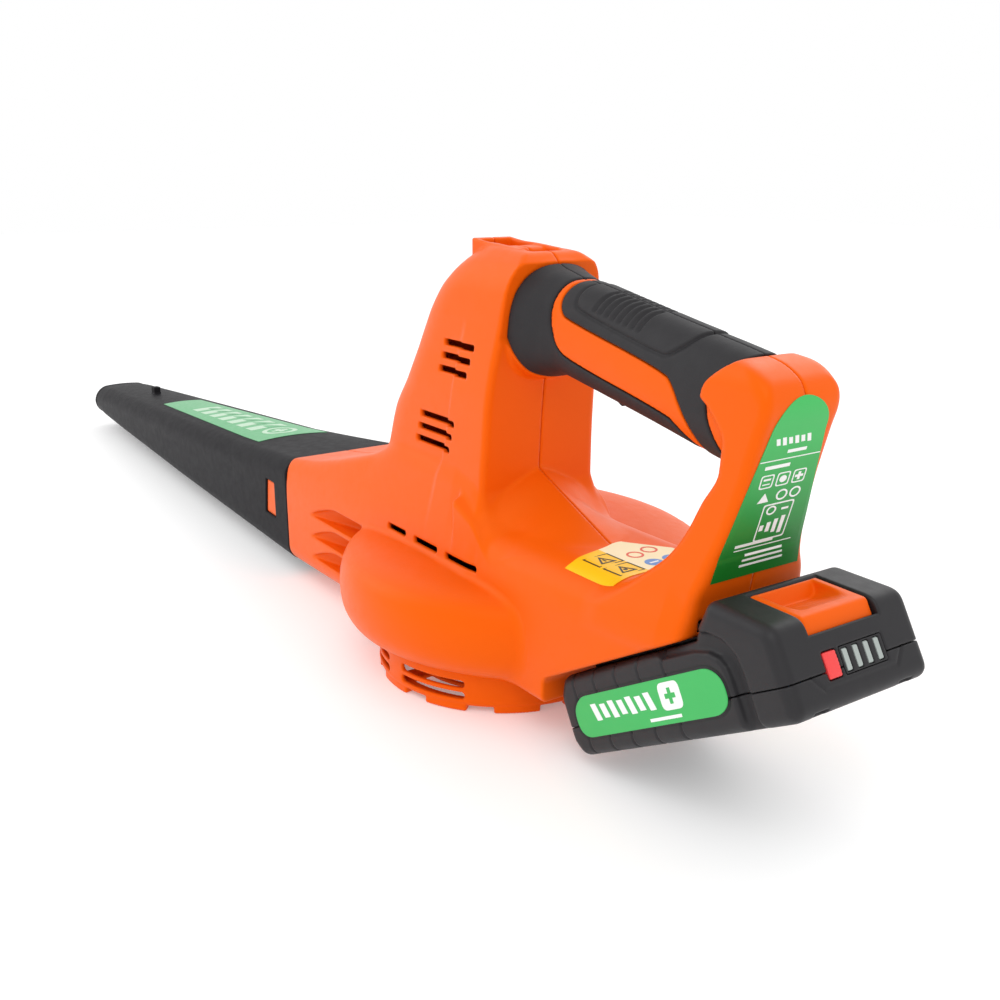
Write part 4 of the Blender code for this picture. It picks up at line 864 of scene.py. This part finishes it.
def cover_field(x, y, z):
    r = np.hypot(x, y)
    t = np.degrees(np.arctan2(y, x))
    ring = smax(np.maximum(r - 66.5, 64.3 - r), span(z, 2.6, 21.2), 0.8)
    plate_low = np.maximum(r - 66.0, span(z, 2.6, 4.8))
    body = smin(ring, plate_low, 2.0)
    body = smax(body, smax(r - 66.5, 2.6 - z, 3.0), 0.3)
    part = np.mod(t, 45.0) - 22.5
    behind = np.abs(np.abs(t) - 180.0) < 45.0
    arc = np.radians(part) * r
    for middle in (8.1, 14.1):
        slot = bar(arc, z - middle, np.maximum(0.295 * r, 3.0), 1.9, 1.9)
        slot = np.maximum(slot, 60 - r)
        body = smax(body, -np.where(behind, 9.0, slot), 0.5)
    spoke = 0.098 * r - np.abs(np.radians(np.mod(t + 22.5, 45.0) - 22.5)) * r
    cell = smax(smax(20.5 - r, r - 59.5, 2.0), spoke, 2.5)
    rings = np.minimum(np.abs(r - 33.5), np.abs(r - 46.5)) - 1.1
    cell = smax(cell, -rings, 1.0)
    body = smax(body, -np.maximum(cell, z - 7.0), 0.6)
    hub = smax(smax(r - 14.2, span(z, 0.0, 5.6), 1.2), 6.0 - np.hypot(r, z + 4.6), 0.6)
    body = smin(body, hub, 0.8)
    foot_number = np.clip(np.round((np.mod(t + 56.0, 360.0) - 16.0) / 32.0), 0, 10)
    offset = np.mod(t + 56.0, 360.0) - 16.0 - 32.0 * foot_number
    foot = smax(smax(np.abs(np.radians(offset)) * r - np.radians(10.0) * r, span(r, 61.0, 66.2), 1.0),
                span(z, 0.0, 3.6), 0.8)
    body = smin(body, foot, 0.5)
    for cx, cy in COVER_SCREWS:
        away = np.hypot(x - cx, y - cy)
        body = smin(body, smax(away - 5.2, span(z, 3.2, 21.2), 0.5), 1.0)
        bore = np.minimum(np.maximum(away - 3.6, z - 10), away - 1.75)
        body = smax(body, -bore, 0.4)
    return body


moulding("intake_grille", cover_field, (-69, -69, -1.5), (69, 69, 23), 0.7, ORANGE, "housing",
         "orange_plastic", "intake_cover")


# ---- screws
def screw_field(reach):
    def field(x, y, z):
        r = np.hypot(x, y)
        dome = np.hypot(r, z - 5.0) - 7.1
        head = smax(smax(r - 3.3, span(z, -2.1, 0.0), 0.7), dome, 0.5)
        thread = 0.16 * np.abs(np.mod(z / 1.3 + np.arctan2(y, x) / (2 * math.pi), 1.0) * 2 - 1)
        shank = smax(smax(r - 1.32 - thread, span(z, -0.5, reach), 0.5), r - 0.1 - (reach - z), 0.3)
        cross = np.minimum(np.maximum(np.abs(x) - 0.45, np.abs(y) - 1.75),
                           np.maximum(np.abs(y) - 0.45, np.abs(x) - 1.75))
        return smax(np.minimum(head, shank), -np.maximum(cross, z + 0.9), 0.2)
    return field


for number, (cx, cz) in enumerate(SCREW_PLACES, 1):
    moulding(f"side_screw_{number}", screw_field(17.3), (-4, -4, -3), (4, 4, 18.2), 0.35, STEEL, "housing",
             "steel", f"housing_screw_{number}",
             place=lambda p, cx=cx, cz=cz: np.column_stack([p[:, 0] + cx, p[:, 2] - 10.3, cz - p[:, 1]]))
for number, (cx, cy) in enumerate(COVER_SCREWS, 1):
    moulding(f"base_screw_{number}", screw_field(15.3), (-4, -4, -3), (4, 4, 16.2), 0.35, STEEL, "housing",
             "steel", f"cover_screw_{number}", place=lambda p, cx=cx, cy=cy: p + np.array((cx, cy, 9.7)))


# ---- trigger
TRIGGER = plate([(3, -21.8), (12, -20.9), (24, -20.9), (34, -22.0), (38, -23.2), (38, -18.5), (26, -15.0),
                 (3, -12.5)])


def trigger_field(y, u, v):
    d = smax(TRIGGER(u, v), np.abs(y) - 6.0 + 0.25 * (v < -15), 1.8)
    grooves = 0.35 * np.clip(1 - np.abs(np.mod(u - 9.0, 4.0) - 2.0) / 0.9, 0, 1)
    d = d + grooves * np.clip((-18.5 - v) / 1.0, 0, 1) * np.clip((33 - u) / 1.5, 0, 1)
    pivot = np.maximum(np.hypot(u - 6.5, v + 14.6) - 1.5, np.abs(y) - 8.5)
    return smin(d, pivot, 0.4)


def handle_world(p):
    c, s = math.cos(HANDLE_SLOPE), math.sin(HANDLE_SLOPE)
    return np.column_stack([HANDLE_START[0] - p[:, 1] * c - p[:, 2] * s, p[:, 0],
                            HANDLE_START[1] - p[:, 1] * s + p[:, 2] * c])


moulding("trigger_pad", trigger_field, (-10, 1, -26), (10, 41, -10), 0.45, DARK, "trigger",
         "black_plastic", "trigger", place=handle_world)


# ---- battery, in its own frame (a, y, h)
def fillet(outline, radius, count=6):
    """Corners replaced by short curves."""
    outline = np.array(outline, dtype=float)
    points = []
    for before, corner, after in zip(np.roll(outline, 1, axis=0), outline, np.roll(outline, -1, axis=0)):
        back, ahead = before - corner, after - corner
        start = corner + back * min(radius / np.linalg.norm(back), 0.45)
        end = corner + ahead * min(radius / np.linalg.norm(ahead), 0.45)
        for t in np.linspace(0, 1, count):
            points.append(start * (1 - t) ** 2 + corner * 2 * t * (1 - t) + end * t * t)
    return np.array(points)


def pack_world(p):
    c, s = math.cos(PACK_SLOPE), math.sin(PACK_SLOPE)
    return np.column_stack([PACK_ORIGIN[0] + p[:, 0] * c + p[:, 2] * s, p[:, 1],
                            PACK_ORIGIN[1] - p[:, 0] * s + p[:, 2] * c])


def pack_axis(a, y, h):
    return pack_world(np.array([(a, y, h)], dtype=float))[0] - pack_world(np.zeros((1, 3)))[0]


CASE = plate(fillet([(134, 0), (139, 7), (139, 28), (133, 36), (42, 36), (41.5, 38), (27, 49.3), (2, 34.5),
                     (0, 31), (0, 3), (3, 0)], 3.0), cell=0.3)
INSIDE = plate([(132, 2.5), (136.5, 9), (136.5, 27), (131.5, 33.5), (41, 33.5), (38, 24.5), (10.5, 24.5),
                (10.5, 20.8), (2.6, 20.8), (2.6, 5), (5, 2.5)])
WELL = plate([(1.9, 22.2), (8.5, 22.2), (8.5, 27.0), (24.2, 27.0), (24.2, 60), (-5, 60), (-5, 27.5),
              (1.9, 27.5)])
SIDE_LABEL = fillet([(36, 8), (124, 8), (129, 12), (129, 21), (122, 26), (36, 26), (30, 21), (30, 12)],
                    4.0)
LABEL_AREA = plate(SIDE_LABEL)
NECK_PATH = [(23.0, -12), (23.0, 20), (23.8, 26), (27, 31), (33, 34.6), (42, 36.4), (60, 36.8)]
NECK = plate(NECK_PATH + NECK_PATH[-2:0:-1])
REAR_PATH = [(-25, 13.8), (-19.5, 7.6), (19.5, 7.6), (25, 13.8)]
REAR_PANEL = plate(REAR_PATH + REAR_PATH[-2:0:-1])
PANEL_LINES = (125.0, 109.5, 94.0, 78.0, 61.5)
SEAM = 13.5
GAUGE_H = 15.5
GAUGE_Y, GAUGE_HALF = -4.5, 11.5
BUTTON_Y = 12.5
CASE_HALF = 37.0


def case(a, y, h):
    wide = np.abs(y)
    d = round_edge(CASE(a, h) + 5.0, wide - CASE_HALF + 5.0, 5.0)
    neck = smax(NECK(a, h) - 3.7, 33.7 - wide, 2.4)
    d = smax(d, -neck, 2.2)
    for line in PANEL_LINES:
        d = d + 0.55 * np.exp(-((a - line) / 0.5) ** 2) * (h < 38)
    d = d + 0.5 * np.exp(-((LABEL_AREA(a, h) - 0.7) / 0.55) ** 2) * (wide > 33)
    d = d + 0.5 * np.exp(-(REAR_PANEL(y, h) / 0.5) ** 2) * (a < 4) * (h < SEAM + 0.3)
    stem = np.maximum(wide - 22.0, span(h, 34.5, 39.8))
    rail = np.minimum(stem, np.maximum(wide - 26.0, span(h, 39.6, 42.6)))
    d = np.minimum(d, smax(rail, span(a, 47, 126), 0.8))
    d = smax(d, -np.maximum(np.maximum(wide - 17.8, 60 - a), span(h, 35.5, 60)), 0.6)
    d = np.maximum(d, -np.maximum(INSIDE(a, h), wide - 32.0))
    for middle in (-11.0, 0.0, 11.0):
        d = smax(d, -np.maximum(np.maximum(np.abs(y - middle) - 1.2, 98 - a), 26.5 - h), 0.5)
    d = smax(d, -np.maximum(WELL(a, h), wide - 19.0), 1.0)
    for middle, half in ((BUTTON_Y, 3.8), (GAUGE_Y, GAUGE_HALF + 0.3)):
        hole = np.maximum(bar(y - middle, h - GAUGE_H, half, 5.2, 0.8), a - 6)
        d = smax(d, -hole, 0.6)
    notch = np.maximum(np.maximum(np.abs(wide - 23.0) - 3.5, a - 5.0), h - 1.6)
    return smax(d, -notch, 0.6)


for word, low_h, high_h in (("lower", -1.5, SEAM + 1.5), ("upper", SEAM - 1.5, 51.0)):
    up = 1.0 if word == "upper" else -1.0
    moulding(f"pack_{word}", lambda a, y, h, up=up: smax(case(a, y, h), 0.15 - up * (h - SEAM), 0.6),
             (-1.5, -38.5, low_h), (140.5, 38.5, high_h), 0.65, DARK, "battery", "black_plastic",
             f"battery_{word}_case", place=pack_world)

LATCH = plate(fillet([(2.2, 26.4), (7.9, 26.4), (7.9, 31.5), (23.6, 31.5), (23.6, 46.9), (2.2, 34.2)], 1.4),
              cell=0.3)


def latch_field(a, y, h):
    flat = LATCH(a, h)
    d = smax(flat, np.abs(y) - 18.4, 1.6)
    floor = 36.7 + 0.235 * (a - 8.0) - 0.9 * np.sin(np.clip((a - 8.0) / 26.0, 0, 1) * math.pi)
    scoop = smax(floor - h, np.abs(y) - 14.6, 5.0)
    scoop = smax(smax(scoop, 6.2 - a, 1.5), a - 22.4, 1.0)
    d = smax(d, -scoop, 0.9)
    lines = 0.25 * np.clip(1 - np.abs(np.mod(a - 11.0, 3.4) - 1.7) / 0.6, 0, 1)
    return d - lines * (a > 11.0) * (a < 21.2) * (np.abs(y) < 11.5) * (h > 33) * (h < floor + 1.2)


moulding("latch_button", latch_field, (1, -19.5, 25), (37, 19.5, 50), 0.5, ORANGE, "latch",
         "orange_plastic", "battery_latch", place=pack_world)


def rear_face(y, h):
    y, h = np.asarray(y, dtype=float), np.asarray(h, dtype=float)
    return pack_world(np.column_stack([np.zeros(len(y)), y, h])), pack_axis(-1, 0, 0)


LIGHTS = [4.4 - 5.75 * k for k in range(4)]


def gauge_field(a, y, h):
    d = smax(bar(y - GAUGE_Y, h - GAUGE_H, GAUGE_HALF, 5.0, 0.7), span(a, 0.1, 5.5), 0.3)
    for middle in LIGHTS:
        slot = bar(y - middle, h - GAUGE_H, 1.6, 4.4, 0.6)
        d = smax(d, -np.maximum(slot, a - 2.6), 0.4)
    return d


moulding("gauge_surround", gauge_field, (-0.5, -17, 9.5), (6.5, 8, 21.5), 0.35, DARK, "battery",
         "light_pipe", "gauge_window", place=pack_world)
for number, middle in enumerate(LIGHTS, 1):
    outline = fillet(box_mark(middle, GAUGE_H, 2.5, 8.2), 0.5, 4)
    put(card(f"gauge_bar_{number}", outline, rear_face, -2.5, -0.25, LIGHT_PIPE, 0.3), "battery",
        "light_pipe")


def button_field(a, y, h):
    crown = 0.5 - 0.012 * ((y - BUTTON_Y) ** 2 + (h - GAUGE_H) ** 2)
    ends = np.maximum(-0.1 - a - crown * 0.6, a - 5.5)
    d = smax(bar(y - BUTTON_Y, h - GAUGE_H, 3.4, 4.9, 0.8), ends, 0.8)
    return d + 0.12 * np.clip(1 - np.abs(np.mod(h, 1.4) - 0.7) / 0.35, 0, 1) * (a < 1.0)


moulding("gauge_push_button", button_field, (-1.6, 8, 9.5), (6.5, 17, 21.5), 0.35, RED, "gauge_button",
         "red_plastic", "gauge_button", place=pack_world)

for side, word in ((1, "left"), (-1, "right")):
    def pack_side(a, h, side=side):
        a, h = np.asarray(a, dtype=float), np.asarray(h, dtype=float)
        return pack_world(np.column_stack([a, np.full(len(a), side * CASE_HALF), h])), pack_axis(0, side, 0)

    label = card(f"{word}_pack_film", SIDE_LABEL, pack_side, 0.1, 0.5, GREEN)
    put(label, "battery", "green_label", f"{word}_battery_label")
    plus = plus_mark(61.5, 18.8, 6.4, 2.0)
    badge = fillet(box_mark(61.5, 18.8, 13.0, 11.0), 3.0)
    marks = stripe_mark(94.0, 18.2, 44.0, 7.4, 7, 0.35) + [badge, box_mark(68.0, 10.6, 20.0, 1.3)]
    put(prints(f"{word}_pack_badge", marks, pack_side, 0.5, 0.62, WHITE_INK), "battery", "green_label")
    put(prints(f"{word}_pack_plus", [plus], pack_side, 0.62, 0.70, GREEN), "battery", "green_label")


# ---- labels on the body
LEG_SLOPE = math.atan2(20.0, 69.0)
LEG_UP = np.array((-math.sin(LEG_SLOPE), 0, math.cos(LEG_SLOPE)))
LEG_OUT = np.array((-math.cos(LEG_SLOPE), 0, -math.sin(LEG_SLOPE)))
LEG_FOOT = np.array((-177.7, 0, 108.0)) + LEG_OUT * 3.0


def leg_start(u, v):
    return LEG_FOOT + np.outer(u, (0, 1, 0)) + np.outer(v, LEG_UP)


on_leg = on_surface(outer_form, leg_start, LEG_OUT)
rows = []
for v in np.concatenate([np.linspace(-6.0, 56, 32), 56 + 13.5 * np.sin(np.linspace(0.08, 1.53, 16))]):
    half = 24.0 - (v + 6.0) * 9.4 / 62
    if v > 56:
        half = 14.6 * math.sqrt(max(1 - ((v - 56) / 13.5) ** 2, 0.001))
    base, _ = on_leg(np.linspace(-half, half, 21), np.full(21, v))
    rows.append(base + LEG_OUT * 0.08)
# the leg film's material carries painted shade on its lower part
put(skin("leg_film_painted_shade", rows, LEG_OUT, 0.25, LEG_GREEN_PAINTED_SHADE), "housing", "green_label", "leg_label")
marks = stripe_mark(1.0, 50.5, 13.5, 3.0, 6, 0.3)
marks += [box_mark(-1.5, 46.3, 7.0, 1.2), box_mark(0, 43.6, 22.0, 0.35), box_mark(4.0, 41.0, 9.0, 1.3)]
for u in (6.4, 0.4, -5.6):
    marks.append(frame_mark(fillet(box_mark(u, 35.6, 4.8, 5.2), 0.8, 3), 0.84))
marks += [box_mark(6.4, 36.4, 2.6, 0.7), box_mark(6.4, 34.6, 2.6, 0.4), disc_mark(0.4, 35.6, 1.3),
          plus_mark(-5.6, 35.6, 3.0, 0.9)]
marks += [frame_mark(disc_mark(-1.0, 29.2, 2.1), 0.72), frame_mark(disc_mark(-6.0, 29.2, 2.1), 0.72),
          [(3.6, 27.4), (7.6, 27.4), (5.6, 31.0)]]
marks.append(frame_mark(fillet(box_mark(-1.2, 18.6, 11.5, 15.0), 0.8, 3), 0.93))
marks += [frame_mark(disc_mark(1.2, 23.4, 1.8), 0.68), box_mark(-4.0, 23.2, 2.6, 0.8)]
marks += [box_mark(3.0 - 2.5 * k, 16.6, 1.4, 2.2 + 1.6 * k) for k in range(4)]
marks += [box_mark(0.0, 9.0, 21.5, 0.35), box_mark(3.8, 10.8, 14.0, 1.1)]
marks += [box_mark(-1.0, 6.4 - 2.1 * k, 14.0 + 1.2 * k, 0.8) for k in range(3)]
put(prints("leg_marks", marks, lambda u, v: on_leg(1.45 * u, 1.11 * v - 3.5), 0.33, 0.46, WHITE_INK),
    "housing", "green_label")

on_deck = on_surface(outer_form, lambda u, v: np.column_stack([u, v, np.full(len(u), 94.0)]), (0, 0, 1))
FILM, INK = 0.33, 0.45
rows = []
for y in np.linspace(31.0, -20.0, 27):
    rear = float(np.interp(y, (-20, -12, 0, 27), (-117.5, -124.0, -125.5, -127.0)))
    ahead = float(np.interp(y, (-20, -6, 27), (-107.0, -87.0, -94.0)))
    base, _ = on_deck(np.linspace(rear, ahead, 13), np.full(13, y))
    rows.append(base + np.array((0, 0, 0.08)))
put(skin("deck_film", rows, (0, 0, 1), 0.25, YELLOW, CREAM, change_row=11), "housing", "yellow_label",
    "warning_label")
marks = [frame_mark(box_mark(x, 16.5, 12.0, 14.0), 0.9) for x in (-102.5, -116.5)]
for x in (-102.5, -116.5):
    marks.append(frame_mark([(x - 4.0, 12.2), (x + 4.0, 16.5), (x - 4.0, 20.8)], 0.66))
marks += [box_mark(-103.2, 16.5, 2.6, 0.8), disc_mark(-117.4, 16.5, 1.0)]
put(prints("deck_marks", marks, on_deck, FILM, INK, BLACK_INK), "housing", "yellow_label")
discs = [disc_mark(-117.5, y, 4.3) for y in (0.2, -10.0)]
put(prints("deck_discs", discs, on_deck, FILM, INK, BLUE_INK), "housing", "yellow_label")
disc_bars = [box_mark(-117.5, 0.2, 1.2, 5.0), box_mark(-117.5, -10.0, 5.0, 1.2)]
put(prints("deck_disc_bars", disc_bars, on_deck, INK, 0.52, WHITE_INK), "housing", "yellow_label")
rings = [frame_mark(disc_mark(-105.0, 0.4, 4.0), 0.74), frame_mark(disc_mark(-103.0, -9.4, 4.0), 0.74)]
put(prints("deck_rings", rings, on_deck, FILM, INK, RED_INK), "housing", "yellow_label")


# ---- finishes of the CAD pieces that stay in view
FINISH = {"orange_plastic": ORANGE, "black_plastic": DARK, "black_rubber": RUBBER, "green_label": GREEN,
          "yellow_label": YELLOW, "red_plastic": RED, "light_pipe": LIGHT_PIPE, "steel": STEEL,
          "lamination_steel": LAMINATION, "bronze": BRONZE, "copper": COPPER, "ferrite": FERRITE,
          "carbon": CARBON, "circuit_board": BOARD, "red_wire": RED_WIRE, "black_wire": BLACK_WIRE,
          "cell_wrap": WRAP}
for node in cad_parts.values():
    for holder in node.material_slots:
        holder.material = FINISH[holder.material.name.split(".")[0]]


# ---- studio
def pose(right, up, back, place):
    return Matrix([(right[i], up[i], back[i], place[i]) for i in range(3)] + [(0, 0, 0, 1)])


def studio():
    camera_data = bpy.data.cameras.new("camera")
    camera_data.lens = 39.6
    camera_data.sensor_width = 36.0
    camera = bpy.data.objects.new("camera", camera_data)
    bpy.context.collection.objects.link(camera)
    right, up, back = (-0.5595, -0.8288, 0.0), (0.2362, -0.1594, 0.9585), (-0.7945, 0.5363, 0.2849)
    place = (-0.4541, 0.3085, 0.2520)
    camera.matrix_world = pose(right, up, back, place)
    bpy.context.scene.camera = camera
    bpy.ops.mesh.primitive_plane_add(size=9.0, location=(0.2, 0.0, -0.0002))
    floor = bpy.context.object
    floor.name = "floor"
    mat, _, shader = nodes_of("floor_white", (0.82, 0.82, 0.82), 0.6)
    shader.inputs["Emission Color"].default_value = (1.0, 1.0, 1.0, 1.0)
    shader.inputs["Emission Strength"].default_value = 0.22
    paint(floor, mat)
    world = bpy.data.worlds.new("studio")
    bpy.context.scene.world = world
    bpy.context.scene.view_settings.view_transform = "Standard"
    world.use_nodes = True
    background = world.node_tree.nodes["Background"]
    background.inputs["Color"].default_value = (1.0, 1.0, 1.0, 1.0)
    background.inputs["Strength"].default_value = 1.0
    for name, place, aim, size, power in (
            ("key", (-0.9, 0.9, 1.5), (-0.05, 0.0, 0.1), 0.9, 7.0),
            ("front_fill", (1.2, 1.0, 1.0), (0.1, 0.0, 0.1), 1.1, 5.0),
            ("far_fill", (0.4, -1.4, 1.1), (0.0, 0.0, 0.1), 1.1, 5.0)):
        light_data = bpy.data.lights.new(name, "AREA")
        light_data.size = size
        light_data.energy = power
        light = bpy.data.objects.new(name, light_data)
        bpy.context.collection.objects.link(light)
        direction = np.array(place) - np.array(aim)
        direction = direction / np.linalg.norm(direction)
        side = np.cross((0, 0, 1), direction)
        side = side / np.linalg.norm(side)
        top = np.cross(direction, side)
        light.matrix_world = pose(side, top, direction, place)


studio()
